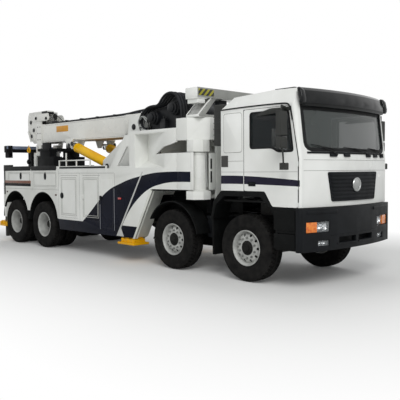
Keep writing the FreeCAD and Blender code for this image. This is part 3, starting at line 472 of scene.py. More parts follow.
CURVE_TOP = 4.0                         # a float curve holds shares from 0 to 1: heights up to 4 m
BAND_SCALE = 0.314                      # a wave texture's scale that gives one band a metre


def both(tree, kind, a, b):
    """One step of arithmetic on two values."""
    return add(tree, "Math", {0: a, 1: b}, operation=kind).outputs[0]


def curve_height(tree, x, points):
    """Height of a drawn line above a place x: points of (x from the first axle, height)."""
    xs = [p[0] for p in points]
    span = (FRONT + min(xs), FRONT + max(xs))
    along = add(tree, "MapRange", {"Value": x, "From Min": span[0], "From Max": span[1]}, clamp=True)
    line = add(tree, "FloatCurve", {"Factor": 1.0, "Value": along.outputs["Result"]})
    curve = line.mapping.curves[0]
    curve.points[0].location = (0, points[0][1] / CURVE_TOP)
    curve.points[1].location = (1, points[-1][1] / CURVE_TOP)
    for px, pz in points[1:-1]:
        curve.points.new((FRONT + px - span[0]) / (span[1] - span[0]), pz / CURVE_TOP)
    line.mapping.update()
    return both(tree, "MULTIPLY", line.outputs["Value"], CURVE_TOP)


# lines of the navy sweep on the body sides: (x from the first axle, height)
SWEEP_TOP = [(-4.7, 0.7), (-4.3, 0.99), (-3.99, 1.23), (-3.63, 1.44), (-3.28, 1.56), (-2.95, 1.65), (-2.63, 1.71),
    (-2.32, 1.76), (-2.03, 1.785), (-1.16, 1.79)]
SWEEP_LOW = [(-3.3, 0.6), (-3.23, 0.71), (-2.96, 1.05), (-2.63, 1.32), (-2.33, 1.48), (-2.03, 1.56), (-1.75, 1.6),
    (-1.48, 1.61), (-1.16, 1.61)]


def between(tree, value, low, high):
    """1 where a value lies between two others, else 0."""
    return both(tree, "MULTIPLY", both(tree, "GREATER_THAN", value, low), both(tree, "LESS_THAN", value, high))


def livery(tree, white, navy, mask):
    """One colour where the mask is 0, the other where it is 1."""
    mix = add(tree, "Mix", {"Factor": mask}, data_type="RGBA")
    tree.links.new(white, mix.inputs["A"])
    tree.links.new(navy, mix.inputs["B"])
    return mix.outputs["Result"]


SWEEP_REAR, SILL_Z = -4.66, 0.725        # where the sweep ends, from the first axle, and how high the navy sill is


def body_livery(tree):
    """White sides with the navy sweep that rises from the sill to the beltline, and a navy sill."""
    where = place(tree)
    x, y, z = add(tree, "SeparateXYZ", {0: where}).outputs
    sweep = between(tree, z, curve_height(tree, x, SWEEP_LOW), curve_height(tree, x, SWEEP_TOP))
    ahead = both(tree, "GREATER_THAN", x, FRONT + SWEEP_REAR)
    side = add(tree, "Math", {0: y}, operation="ABSOLUTE").outputs[0]
    sweep = both(tree, "MULTIPLY", both(tree, "MULTIPLY", sweep, ahead),
        both(tree, "GREATER_THAN", side, BODY_Y - 0.03))
    sill = both(tree, "LESS_THAN", z, SILL_Z)
    mask = both(tree, "MAXIMUM", sweep, sill)
    white = cloudy(tree, "#DEDFDA", "#E9EAE6", 0.8, where=where)
    navy = cloudy(tree, "#10121C", "#161926", 0.5, where=where)
    return {"Base Color": livery(tree, white, navy, mask), "Roughness": roughness_clouds(tree, 0.24, 0.36, 0.3),
        "Normal": grain(tree, 0.02, 0.0006, 0.12)}


def cab_livery(tree):
    """White cab with one navy band along each side, falling a little towards the front."""
    where = place(tree)
    x, y, z = add(tree, "SeparateXYZ", {0: where}).outputs
    low = curve_height(tree, x, [(-0.46, 1.59), (0.05, 1.59), (1.15, 1.565)])
    high = curve_height(tree, x, [(-0.46, 1.725), (0.05, 1.72), (1.15, 1.655)])
    side = add(tree, "Math", {0: y}, operation="ABSOLUTE").outputs[0]
    on_side = both(tree, "GREATER_THAN", side, CAB_Y - 0.035)
    behind = both(tree, "LESS_THAN", x, FRONT + 1.13)
    mask = both(tree, "MULTIPLY", between(tree, z, low, high), both(tree, "MULTIPLY", on_side, behind))
    white = cloudy(tree, "#E2E3DF", "#ECEDEA", 0.8, where=where)
    navy = cloudy(tree, "#1E1C2C", "#252334", 0.5, where=where)
    return {"Base Color": livery(tree, white, navy, mask), "Roughness": roughness_clouds(tree, 0.2, 0.3, 0.3),
        "Normal": grain(tree, 0.02, 0.0006, 0.1)}


def tyre_rubber(tree):
    """Carbon-black rubber with road dust in the clouds and a matt surface."""
    return {"Base Color": cloudy(tree, "#181818", "#242322", 0.12),
        "Roughness": roughness_clouds(tree, 0.72, 0.9, 0.1), "Normal": grain(tree, 0.004, 0.0005, 0.4)}


def moulded(low, high, rough=(0.45, 0.6), size=0.0035):
    """Moulded ABS: fine leather-like grain, drawn coarser than the real 1 mm so that it shows."""
    def build(tree):
        return {"Base Color": cloudy(tree, low, high, 0.3), "Roughness": roughness_clouds(tree, *rough, 0.2),
            "Normal": grain(tree, size, 0.0004, 0.35)}
    return build


# sprayed enamel over sheet steel: white, with a clear gloss coat
material("white_enamel", "white_paint", painted("#DEDFDA", "#E9EAE6"), coat=0.3, coat_rough=0.08)
material("body_enamel", "white_paint", body_livery, specular=0.06)
material("cab_enamel", "white_paint", cab_livery, specular=0.12)
# light grey, a little darker than the white, inside channels and behind the cab: partly grey paint, partly painted
# shade of the cab
material("grey_enamel", "white_paint", painted("#D0D2CE", "#DBDDD8", 0.5, (0.4, 0.55)))
# machine yellow enamel on hydraulic cylinders and feet
material("yellow_enamel", "yellow_paint", painted("#D99E05", "#E8AE10", 0.4, (0.35, 0.5)), specular=0.2)
# black chassis paint, satin
material("chassis_black", "black_paint", painted("#0D0E0F", "#161718", 0.3, (0.45, 0.65)), specular=0.1)
material("tyre_rubber", "tyre_rubber", tyre_rubber, specular=0.04)
material("black_abs", "black_plastic", moulded("#15171A", "#1E2022"), specular=0.1)
# smoked acrylic of the visor: dark, glossy
material("smoked_acrylic", "smoked_plastic", moulded("#0C0E0F", "#151718", (0.1, 0.16), 0.02), specular=0.2)
# silver wheel enamel: light grey with brake dust
material("wheel_silver", "wheel_paint", painted("#9A9B98", "#B4B5B1", 0.15, (0.4, 0.55)))
# zinc-coated wheel nuts, dulled by dust
material("wheel_nuts", "cast_steel", painted("#777876", "#8A8B88", 0.1, (0.4, 0.6)), metal=0.5)
material("cast_steel", "cast_steel", painted("#2B2B2A", "#3A3936", 0.1, (0.55, 0.75)), metal=0.3)
# chromed piston rods, pins and mirror faces
material("chrome", "cast_steel", lambda t: {"Roughness": roughness_clouds(t, 0.06, 0.14, 0.2)},
    colour=linear("#D8DADC"), metal=1.0)
# tinted safety glass: dark from outside, glossy
material("tinted_glass", "clear_glass", lambda t: {"Roughness": roughness_clouds(t, 0.015, 0.04, 0.5)},
    colour=linear("#141C1E"), alpha=0.5, ior=1.5, specular=0.3)
material("lamp_lens", "lamp_glass", lambda t: {"Roughness": roughness_clouds(t, 0.03, 0.1, 0.1)},
    colour=linear("#D5DADC"), alpha=0.14, ior=1.5)
material("seat_cloth", "trim_fabric", moulded("#3C3D40", "#4A4B4F", (0.8, 0.95), 0.004))
# EPDM rubber of seals and wiper blades: deep black, matt
material("seal_rubber", "black_plastic", moulded("#0F1011", "#171819", (0.55, 0.7), 0.004), specular=0.2)
# sealant in the seams between panels, with the same grey as painted shade along the raised sleeper panel's edge; the
# lighter grey after it is painted shade in the folds of a pressed leaf
material("seam_sealer", "white_paint", painted("#8E8F8B", "#9B9C98", 0.2, (0.5, 0.65)))
material("panel_line", "white_paint", painted("#A8A9A4", "#B6B7B2", 0.2, (0.5, 0.65)))
# laminated windscreen: clear with a faint green cast, glossy
material("screen_glass", "clear_glass", lambda t: {"Roughness": roughness_clouds(t, 0.01, 0.03, 0.5)},
    colour=linear("#454C4A"), alpha=0.5, ior=1.5, coat=0.3)
# expanded steel mesh behind the slats, painted black
material("black_mesh", "black_plastic", moulded("#0B0C0D", "#141516", (0.6, 0.8), 0.006))
# bare aluminium with a circular brushed finish
material("brushed_aluminium", "cast_steel", lambda t: {"Roughness": roughness_clouds(t, 0.25, 0.38, 0.05)},
    colour=linear("#A9ABAA"), metal=0.9)
# glass-filled polypropylene of the bumper: near black with a soft sheen
material("bumper_plastic", "black_plastic", moulded("#0D0F11", "#15171A", (0.38, 0.5), 0.0045), specular=0.12)
# polypropylene of mudguards and steps, dusty
material("guard_plastic", "black_plastic", moulded("#0A0B0B", "#131414", (0.5, 0.68), 0.0045), specular=0.08)
material("moulded_grey", "black_paint", moulded("#2C2D2B", "#363735", (0.45, 0.6), 0.0045), specular=0.2)


def prisms(low, high, pitch=0.008):
    """Coloured lens: fine vertical and horizontal ribs, drawn wider than the real 3 mm so that they show."""
    def build(tree):
        where = place(tree)
        wave = add(tree, "TexWave", {"Vector": where, "Scale": BAND_SCALE / pitch}, bands_direction="Z")
        bump = add(tree, "Bump", {"Height": wave.outputs["Fac"], "Distance": 0.001, "Strength": 0.4})
        return {"Base Color": cloudy(tree, low, high, 0.05, where=where), "Normal": bump.outputs["Normal"]}
    return build


# moulded amber and red lenses with fine prisms
material("amber_lens", "lamp_glass", prisms("#D9630C", "#F08A1E"), rough=0.12, ior=1.49, coat=0.6)
material("red_lens", "lamp_glass", prisms("#A5150F", "#C4241A"), rough=0.12, ior=1.49, coat=0.6)
# grey of a seam line and of the painted highlight on the body's corner edge, and the light folded edge of the body
material("strip_paint", "white_paint", painted("#6E7076", "#7C7E83", 0.2, (0.35, 0.5)))
material("edge_paint", "white_paint", painted("#B9BAB7", "#C6C7C3", 0.3, (0.35, 0.5)))
# aged retroreflective tape: brown red, fine honeycomb gloss
material("reflective_tape", "black_plastic", prisms("#6A4030", "#84543C", 0.012), rough=0.35)
# ribbed rubber of the mudflaps, grey with dust
material("flap_rubber", "tyre_rubber", moulded("#3A3A38", "#4C4B48", (0.75, 0.9), 0.008))
# clear lamp glass
material("clear_lens", "lamp_glass", prisms("#C9CDCE", "#DADDDD"), rough=0.1, ior=1.5, coat=0.6)
# bare rolled aluminium of the number plate blank
material("plate_aluminium", "cast_steel", painted("#B8BAB9", "#C6C8C6", 0.2, (0.35, 0.45)), metal=0.5)
# forged hook in safety orange
material("hook_orange", "yellow_paint", painted("#C8741C", "#D98A22", 0.1, (0.35, 0.5)))
# winch castings: black enamel with oil film
material("winch_black", "black_paint", painted("#0E0F11", "#16181B", 0.15, (0.35, 0.55)), specular=0.25)
# galvanised wire rope, greased: dark strands drawn coarser than the real 3 mm
material("wire_rope", "cast_steel", moulded("#1E2022", "#303234", (0.4, 0.55), 0.006), metal=0.3)
# hydraulic hose covers: black, grey and blue-grey synthetic rubber
material("hose_rubber", "black_plastic", moulded("#0F1012", "#1A1C20", (0.5, 0.7), 0.005), specular=0.25)
material("hose_grey", "black_plastic", moulded("#8C8E8C", "#A2A4A1", (0.45, 0.6), 0.005))
material("hose_blue", "black_plastic", moulded("#5C6880", "#76829A", (0.45, 0.6), 0.005))
# boom enamel: the same white, a little warmer
material("boom_enamel", "white_paint", painted("#DCDCD6", "#E6E6E0", 1.1), coat=0.3, coat_rough=0.08)
# orange vinyl sheet, bare
material("orange_sheet", "yellow_paint", painted("#D08E14", "#DA9A22", 0.08, (0.4, 0.5)))
# bronze-coloured strip along the underside of the boom
material("wear_bronze", "yellow_paint", painted("#B8925C", "#C7A36C", 0.3, (0.4, 0.55)))
# machine yellow on the lift cylinders, fresher than on the feet
material("cylinder_yellow", "yellow_paint", painted("#F2B600", "#FAC60A", 0.4, (0.3, 0.42)), specular=0.25)
# grey enamel of the legs and their guide rails
material("leg_grey", "black_paint", painted("#A3A59B", "#B1B3A9", 0.25, (0.4, 0.55)))
material("leg_rail", "black_paint", painted("#D6D8D0", "#E2E4DC", 0.25, (0.4, 0.55)))
# mid-grey: enamel on the gantry's front face, and painted shade on the channel webs of its stays
material("shade_grey", "white_paint", painted("#8A8B87", "#979893", 0.3, (0.4, 0.55)))
# lighter blue-grey on the top faces of the cross bar and on its face plate
material("bar_blue", "black_paint", painted("#6A7488", "#7D8699", 0.25, (0.45, 0.6)))


def treads(tree):
    """Raised-bar floor plate: crossed waves, 35 mm apart as on the real sheet."""
    where = place(tree)
    waves = [add(tree, "TexWave", {"Vector": where, "Scale": BAND_SCALE / 0.035}, bands_direction=axis).outputs["Fac"]
        for axis in ("X", "Y")]
    bump = add(tree, "Bump", {"Height": both(tree, "MULTIPLY", *waves), "Distance": 0.002, "Strength": 0.8})
    return {"Base Color": cloudy(tree, "#8E9090", "#A6A8A8", 0.3, where=where),
        "Roughness": roughness_clouds(tree, 0.35, 0.5, 0.2), "Normal": bump.outputs["Normal"]}


def hazard(tree):
    """Slanting black bars on yellow film, 60 mm apart."""
    where = place(tree)
    _, y, z = add(tree, "SeparateXYZ", {0: where}).outputs
    slant = both(tree, "ADD", add(tree, "Math", {0: y}, operation="ABSOLUTE").outputs[0], z)
    phase = both(tree, "MODULO", slant, 0.12)
    dark = both(tree, "LESS_THAN", phase, 0.062)
    yellow = cloudy(tree, "#8E8A18", "#A39C22", 0.1, where=where)
    black = cloudy(tree, "#17181A", "#222325", 0.1, where=where)
    return {"Base Color": livery(tree, yellow, black, dark), "Roughness": roughness_clouds(tree, 0.35, 0.5, 0.1)}


material("tread_plate", "cast_steel", treads, metal=0.7)
material("hazard_tape", "yellow_paint", hazard)
# smoked brown lens of the small side markers
material("brown_lens", "lamp_glass", prisms("#3A1E14", "#4A281A"), rough=0.2, ior=1.49)
# forged and machined hub steel, dark with grease
material("hub_iron", "cast_steel", painted("#161615", "#242422", 0.08, (0.5, 0.7)), specular=0.1)


# ---------------------------------------------------------------- the CAD pieces, with softened edges
MATERIAL_OF_SLOT = {
    "white_paint": "white_enamel", "yellow_paint": "yellow_enamel", "black_paint": "chassis_black",
    "wheel_paint": "wheel_silver", "black_plastic": "black_abs", "smoked_plastic": "smoked_acrylic",
    "tyre_rubber": "tyre_rubber", "clear_glass": "tinted_glass", "lamp_glass": "lamp_lens",
    "trim_fabric": "seat_cloth", "cast_steel": "cast_steel",
}
NODE_SLOT = {part["node"]: part["material_slot"] for part in frame["record"]["subparts"]}
for node_name, node_obj in frame["nodes"].items():
    node_obj.data.materials.clear()
    node_obj.data.materials.append(MATERIALS[MATERIAL_OF_SLOT[NODE_SLOT[node_name]]])
for node_name in ("cab_shell", "cab_door_right", "cab_door_left"):
    frame["nodes"][node_name].data.materials[0] = MATERIALS["cab_enamel"]
for node_name in ("lockers_right", "lockers_left", "locker_door_b_right", "locker_door_b_left", "tower",
    "front_stabiliser_right", "front_stabiliser_left"):
    frame["nodes"][node_name].data.materials[0] = MATERIALS["body_enamel"]


# ---------------------------------------------------------------- tyres
TREAD_STEPS = 144                        # three steps to a tread block: two of rubber, one of gap


def tyre_piece(name, y):
    """A radial truck tyre: ribs with cross grooves, open shoulder blocks, round sidewalls with moulded rings."""
    half = [
        (TYRE_R, 0.0), (TYRE_R, 0.029), (0.534, 0.031), (0.534, 0.039), (0.5495, 0.041), (0.549, 0.078),
        (0.534, 0.08), (0.534, 0.088), (0.548, 0.09), (0.545, 0.12), (0.538, 0.133), (0.52, 0.1425), (0.503, 0.1475),
        (0.497, 0.15), (0.488, 0.1505), (0.484, 0.149), (0.455, 0.1512), (0.425, 0.1512), (0.395, 0.1485),
        (0.366, 0.143), (0.36, 0.1445), (0.352, 0.142), (0.325, 0.131), (0.304, 0.1235), (0.291, 0.1205),
        (0.28, 0.115), (0.271, 0.105)]
    profile = half + [(r, -a) for r, a in reversed(half[1:])]
    centre = Vector((FRONT, y, TYRE_R))
    obj = lathe(name, profile, centre, "Y", TREAD_STEPS)
    step = 2 * math.pi / TREAD_STEPS

    def in_groove(c, n):
        away, out = c.y - y, c - centre
        out.y = 0
        if out.length < 0.53 or out.normalized().dot(n) < 0.45:
            return False
        k = math.floor(math.atan2(out.x, out.z) / step) % 3
        band = abs(away)
        turn = 0 if away > 0 else 1
        return (band > 0.089 and k == turn) or (0.041 < band < 0.079 and k == (turn + 1) % 3)

    edit(obj, faces=in_groove)
    bpy.ops.mesh.extrude_region_shrink_fatten(TRANSFORM_OT_shrink_fatten={"value": -0.013})
    return done(obj, 38)


def barrel_disc(name, profile, centre, side, hole_r=0.0, hole_places=(0.216, 10), depth=0.1):
    """A pressed wheel disc and its rim, one closed ring, with round hand holes through the disc."""
    obj = lathe(name, profile, centre, "Y", 80, side)
    if hole_r:
        spot = centre + Vector((0, side * depth, hole_places[0]))
        cutter = lathe("hand_holes", [(0, -0.05), (hole_r, -0.05), (hole_r, 0.05), (0, 0.05)], spot, "Y", 16)
        carve(obj, ring_of(cutter, "hand_holes", hole_places[1], centre, start=math.pi / 10))
    return obj


def mixed(name, parts):
    """Joins pieces with different finishes: parts of (piece, finish)."""
    for piece, finish in parts:
        piece.data.materials.clear()
        piece.data.materials.append(MATERIALS[finish])
    return join(name, [piece for piece, _ in parts])


STUD_R = 0.1675                          # wheel studs' pitch circle
steer_centre = Vector((FRONT, -STEER_Y, TYRE_R))
stud_foot = steer_centre + Vector((0, -0.099, STUD_R))
steer_tyre = tyre_piece("front_tyre_1", -STEER_Y)
steer_rim = barrel_disc("front_rim_1", [
    (0.291, 0.122), (0.293, 0.129), (0.289, 0.134), (0.281, 0.134), (0.273, 0.127), (0.264, 0.112), (0.257, 0.1),
    (0.254, 0.07), (0.249, 0.058), (0.24, 0.064), (0.226, 0.082), (0.206, 0.094), (0.186, 0.099), (0.112, 0.101),
    (0.106, 0.097), (0.106, 0.086), (0.19, 0.085), (0.218, 0.07), (0.238, 0.048), (0.254, 0.03), (0.256, -0.1),
    (0.266, -0.116), (0.28, -0.134), (0.291, -0.134), (0.291, -0.126), (0.278, -0.12), (0.2695, -0.104),
    (0.2695, 0.104), (0.278, 0.118)], steer_centre, -1, 0.024, (0.213, 10), 0.08)
nut = join("nut", [
    hexagon("nut", stud_foot, 0.03, 0.026, side=-1),
    lathe("washer", [(0, 0), (0.02, 0), (0.019, 0.004), (0, 0.004)], stud_foot, "Y", 16, -1),
    lathe("stud", [(0, 0), (0.01, 0), (0.01, 0.034), (0.008, 0.037), (0, 0.037)], stud_foot, "Y", 12, -1)])
steer_nuts = ring_of(nut, "front_nuts_1", 10, steer_centre)
steer_hub = lathe("front_hub_1", [
    (0.0, 0.143), (0.052, 0.143), (0.06, 0.14), (0.064, 0.132), (0.064, 0.122), (0.083, 0.12), (0.09, 0.114),
    (0.092, 0.104), (0.118, 0.102), (0.124, 0.098), (0.124, 0.03), (0.0, 0.03)], steer_centre, "Y", 48, -1)
hub_bolt = hexagon("bolt", steer_centre + Vector((0, -0.119, 0.074)), 0.014, 0.009, side=-1)
hub_bolts = ring_of(hub_bolt, "bolts", 8, steer_centre)
steer_drum = lathe("front_drum_1", [
    (0.0, 0.04), (0.18, 0.04), (0.2, 0.032), (0.207, 0.02), (0.207, -0.02), (0.213, -0.026), (0.213, -0.06),
    (0.207, -0.066), (0.207, -0.145), (0.19, -0.145), (0.19, 0.01), (0.0, 0.01)], steer_centre, "Y", 64, -1)
steer_iron = mixed("front_hub_1", [(join("front_hub_1", [steer_hub, hub_bolts, steer_drum]), "hub_iron"),
    (steer_nuts, "wheel_nuts")])
for number in (2, 1):
    offset = (AXLE_X[number - 1] - FRONT, 0, 0)
    for base, finish, node in ((steer_tyre, "tyre_rubber", "tyre"), (steer_rim, "wheel_silver", "rim"),
        (steer_iron, None, None)):
        piece = copy_of(base, base.name[:-1] + str(number), offset) if number == 2 else base
        pair(piece, finish, [f"axle_{number}_{{}}_{node}"] if node else [], f"wheel_{number}_{{}}")

# ---------------------------------------------------------------- twin wheels
TWIN_HALF = 0.152                        # half the width of one twin tyre
TWIN_Y = [-(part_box("axle_3_right_tyres")[0].y + TWIN_HALF), -(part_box("axle_3_right_tyres")[1].y - TWIN_HALF)]
twin_middle = Vector((FRONT, -sum(TWIN_Y) / 2, TYRE_R))
twin_tyres = join("rear_tyres_3", [tyre_piece("rear_tyres_3", -y) for y in TWIN_Y])
dish = [(0.291, 0.297), (0.293, 0.303), (0.289, 0.308), (0.281, 0.308), (0.273, 0.301), (0.264, 0.288),
    (0.257, 0.276), (0.254, 0.11), (0.25, 0.078), (0.24, 0.054), (0.222, 0.034), (0.2, 0.024), (0.108, 0.022),
    (0.108, 0.002), (0.206, 0.002), (0.236, 0.02), (0.262, 0.06), (0.2695, 0.1), (0.2695, 0.278), (0.278, 0.292)]
twin_rims = join("rear_rims_3", [barrel_disc("rear_rims_3", dish, twin_middle, s, 0.0185, (0.226, 10), 0.03)
    for s in (-1, 1)])
twin_hub = lathe("rear_hub_3", [
    (0.0, 0.188), (0.06, 0.188), (0.072, 0.184), (0.076, 0.174), (0.078, 0.15), (0.1, 0.146), (0.106, 0.138),
    (0.107, 0.02), (0.0, 0.02)], twin_middle, "Y", 48, -1)
hub_bolt = hexagon("bolt", twin_middle + Vector((0, -0.145, 0.09)), 0.016, 0.01, side=-1)
twin_bolts = ring_of(hub_bolt, "bolts", 10, twin_middle)
twin_drum = lathe("rear_drum_3", [(0.0, -0.014), (0.19, -0.014), (0.205, -0.024), (0.208, -0.06), (0.214, -0.066),
    (0.214, -0.11), (0.208, -0.116), (0.208, -0.298), (0.19, -0.298), (0.19, -0.04), (0.0, -0.04)], twin_middle,
    "Y", 64, -1)
twin_stud = twin_middle + Vector((0, -0.022, STUD_R))
nut = join("nut", [
    hexagon("nut", twin_stud, 0.03, 0.03, side=-1),
    lathe("stud", [(0, 0), (0.01, 0), (0.01, 0.042), (0.008, 0.045), (0, 0.045)], twin_stud, "Y", 12, -1)])
twin_iron = mixed("rear_hub_3", [(join("rear_hub_3", [twin_hub, twin_bolts, twin_drum]), "hub_iron"),
    (ring_of(nut, "nuts", 10, twin_middle), "wheel_nuts")])
for base in (twin_tyres, twin_rims, twin_iron):
    base.data.transform(Matrix.Translation((AXLE_X[2] - FRONT, 0, 0)))
for number in (4, 3):
    offset = (AXLE_X[number - 1] - AXLE_X[2], 0, 0)
    for base, finish, node in ((twin_tyres, "tyre_rubber", "tyres"), (twin_rims, "wheel_silver", "rims"),
        (twin_iron, None, None)):
        piece = copy_of(base, base.name[:-1] + str(number), offset) if number == 4 else base
        pair(piece, finish, [f"axle_{number}_{{}}_{node}"] if node else [], f"wheels_{number}_{{}}")

# ---------------------------------------------------------------- cab
CAB_FRONT, CAB_CORNER = 1.3, 1.15       # cab front on the centre line and at its corners, from the first axle
BELT_Z, LEAN = 1.98, 0.125              # above the belt the front leans back
CORNER_Y = CAB_Y - 0.06
BOW_R = (CORNER_Y ** 2 + (CAB_FRONT - CAB_CORNER) ** 2) / (2 * (CAB_FRONT - CAB_CORNER))


def on_front(y, z, off=0.0):
    """A place on the bowed, leaning front of the cab, standing off from it."""
    r = BOW_R + off
    lean = LEAN * max(0.0, z - BELT_Z)
    return at(CAB_FRONT - BOW_R + math.sqrt(r * r - y * y) - lean, y, z)


def front_band(name, y, z, off, round_off=0.0, steps=24):
    """A panel that follows the bowed front: ranges of y and height, and its near and far stand-off."""
    ys = [y[0] + (y[1] - y[0]) * k / steps for k in range(steps + 1)]
    outline = [on_front(v, z[0], off[1]) for v in ys] + [on_front(v, z[0], off[0]) for v in reversed(ys)]
    lean = LEAN * (z[1] - z[0]) if z[0] >= BELT_Z else 0.0
    return plate(name, outline, Vector((-lean, 0, z[1] - z[0])), round_off)


def front_cutter(outline):
    """A block right through the front with the given outline of (y, z)."""
    return plate("cutter", [at(0.7, y, z) for y, z in outline], Vector((0.9, 0, 0)), 0)


ON_CAB = (-CAB_Y - 0.0015, -CAB_Y + 0.004)      # the depth of a seam drawn on the right side of the cab
CAB_MIDDLE = at(0.42, 0, 2.25)
dress(two_tone(softened("cab_shell", 0.009, segments=3), "cab_enamel", "seat_cloth",
    lambda c, n: (c - CAB_MIDDLE).dot(n) < 0 and abs(c.y) < CAB_Y - 0.012 and (c.z > 1.54)), None, ["cab_shell"])

# doors: pressed skin, rubber window seal, tinted pane, recessed handle
DOOR = [(0.045, 1.48), (0.47, 1.48), (0.62, 1.25), (1.105, 1.25), (1.105, 1.98), (0.966, 2.76), (0.045, 2.76)]
WINDOW = [(0.165, 2.14), (0.62, 2.14), (0.72, 2.075), (1.03, 2.075), (0.94, 2.715), (0.165, 2.715)]
door = plate("cab_door_skin", side_outline(DOOR, -CAB_Y, 0.03), (0, 0.055, 0), 0)
carve(door, plate("cutter", side_outline(WINDOW, -CAB_Y - 0.05, 0.06), (0, 0.2, 0), 0))
carve(door, block("cutter", (0.125, 0.285), (-CAB_Y - 0.05, -CAB_Y + 0.022), (1.555, 1.625), 0))
bevel(door, 0.006, 3)
pair(door, "cab_enamel", ["cab_door_{}"], "cab_door_{}")
seal = frame_plate("door_window_seal", side_outline(WINDOW, -CAB_Y - 0.003, 0.06), (0, 0.024, 0), 0.024, 0.004)
pair(seal, "seal_rubber", body="cab_door_{}")
pair(plate("door_pane", side_outline(WINDOW, -CAB_Y + 0.018, 0.06), (0, 0.005, 0), 0), "tinted_glass",
    body="cab_door_{}")
pair(blocks("door_handle", [((0.135, 0.275), (-CAB_Y - 0.006, -CAB_Y + 0.008), (1.585, 1.612), 0.006, 3),
    ((0.128, 0.282), (-CAB_Y + 0.012, -CAB_Y + 0.021), (1.558, 1.622), 0.003)]), "black_abs", body="cab_door_{}")
pair(join("door_hinges", [lathe("hinge", rod(0.011, -0.038, 0.038), at(1.105, -CAB_Y, z), "Z", 16)
    for z in (1.56, 1.9)]), "cab_enamel", body="cab_door_{}")

# drip rail over the door, seams of the side, sleeper panel, vent, roof ventilator
pair(tube("drip_rail", side_outline(((-0.45, 2.798), (-0.1, 2.806), (0.4, 2.81), (0.82, 2.806), (0.92, 2.796),
    (0.962, 2.752), (0.985, 2.66), (1.005, 2.55)), -CAB_Y - 0.004), 0.011), "seal_rubber")
edge = plate("door_edge", side_outline([(0.968, 2.755), (0.982, 2.755), (1.121, 1.98), (1.121, 1.33), (1.107, 1.33),
    (1.107, 1.98)], -CAB_Y - 0.002), (0, 0.006, 0), 0.001)
pair(edge, "seal_rubber")
pair(block("band_break", (0.036, 0.044), ON_CAB, (1.59, 1.724), 0), "white_enamel")
pair(blocks("cab_crease", [((-0.455, 0.036), ON_CAB, (z, z + 0.006), 0) for z in (1.955, 1.78)]), "seam_sealer")
pair(block("door_crease", (0.052, 1.098), ON_CAB, (1.78, 1.786), 0), "seam_sealer", body="cab_door_{}")
pair(plate("sleeper_panel", side_outline(rect(-0.395, 0.0, 2.1, 2.725), -CAB_Y - 0.006, 0.05), (0, 0.012, 0),
    0.005), "cab_enamel")
# grey frame round the sleeper panel: painted shade along its raised edge
pair(frame_plate("sleeper_seam", side_outline(rect(-0.402, 0.007, 2.093, 2.732), -CAB_Y - 0.0015, 0.055),
    (0, 0.005, 0), 0.008, 0), "seam_sealer")
pair(join("cab_vent", [frame_plate("vent", side_outline(rect(-0.45, -0.3, 1.865, 2.05), -CAB_Y - 0.006, 0.01),
    (0, 0.012, 0), 0.014), block("back", (-0.44, -0.31), (-CAB_Y - 0.002, -CAB_Y + 0.004), (1.875, 2.04), 0)] +
    [plate("slat", [at(-0.438, -CAB_Y - 0.004, z), at(-0.438, -CAB_Y + 0.004, z + 0.014),
    at(-0.438, -CAB_Y + 0.004, z + 0.017), at(-0.438, -CAB_Y - 0.004, z + 0.003)], (0.126, 0, 0), 0)
    for z in (1.882, 1.904, 1.926, 1.948, 1.97, 1.992, 2.014)]), "flap_rubber")
dress(blocks("roof_ventilator", [((0.46, 0.8), (-0.93, -0.45), (3.035, 3.062), 0.01, 3),
    ((0.44, 0.82), (-0.95, -0.43), (3.058, 3.078), 0.009, 3)]), "black_abs")

# windscreen: bonded pane with its black rubber surround, wipers at its foot
SCREEN = [(-1.135, 2.79), (-1.135, 2.23), (-1.118, 2.165), (-1.07, 2.117), (-1.0, 2.095),
    (1.0, 2.095), (1.07, 2.117), (1.118, 2.165), (1.135, 2.23), (1.135, 2.79)]


def scaled(outline, grow):
    """An outline of (y, z) grown all round by about the given width, about the screen's middle."""
    return [(y + math.copysign(grow, y), z + math.copysign(grow, z - 2.44)) for y, z in outline]


screen = front_band("windscreen", (-1.15, 1.15), (2.06, 2.83), (-0.022, -0.016), steps=48)
carve(screen, front_cutter(scaled(SCREEN, -0.002)), "INTERSECT")
dress(screen, "screen_glass", ["cab_glass"])
surround = front_band("windscreen_surround", (-1.165, 1.165), (2.05, 2.84), (-0.026, 0.005), steps=48)
carve(surround, frame_plate("ring", facing(scaled(SCREEN, 0.012), 0.7), (0.9, 0, 0), 0.056, 0), "INTERSECT")
dress(surround, "seal_rubber")
dress(plate("rear_pane", facing([(-0.518, 2.182), (0.518, 2.182), (0.518, 2.558), (-0.518, 2.558)], -0.44, 0.05),
    (0.01, 0, 0), 0), "tinted_glass")
for number, (y, swing, rise) in enumerate(((-0.52, -0.5, 0.065), (0.4, -0.72, 0.03), (0.96, -0.56, 0.03)), 1):
    pivot = on_front(y, 2.045, 0.012)
    elbow, tip = on_front(y + 0.18 * swing, 2.085, 0.035), on_front(y + swing * 0.62, 2.12 + rise * 0.6, 0.03)
    blade = [on_front(y + swing * t, 2.118 + rise * t, 0.014) for t in (0.05, 0.35, 0.68, 1.0)]
    wiper = join(f"wiper_{number}", [
        lathe("boss", [(0, -0.01), (0.026, -0.01), (0.026, 0.022), (0.018, 0.03), (0, 0.03)], pivot, "X", 20),
        tube("arm", [pivot + Vector((0.02, 0, 0)), elbow, tip], 0.009),
        tube("spine", [p + Vector((0.006, 0, 0.004)) for p in blade], 0.006), tube("rubber", blade, 0.004)])
    dress(wiper, "seal_rubber")
dress(join("screen_cowl", [front_band("strip", (-1.1, 1.1), (2.052, 2.08), (0.001, 0.01), 0.003)] +
    [front_band("bracket", (y, y + 0.15), (2.008, 2.056), (0.001, 0.026), 0.006, 3)
    for y in (-0.65, -0.32, 0.33, 0.6, 0.9)]), "black_abs")
dress(join("front_seams", [front_band("seam", (-1.17, 1.17), (1.955, 1.961), (-0.002, 0.0015)),
    front_band("seam", (-1.17, 1.17), (1.795, 1.801), (-0.002, 0.0015))]), "seam_sealer")

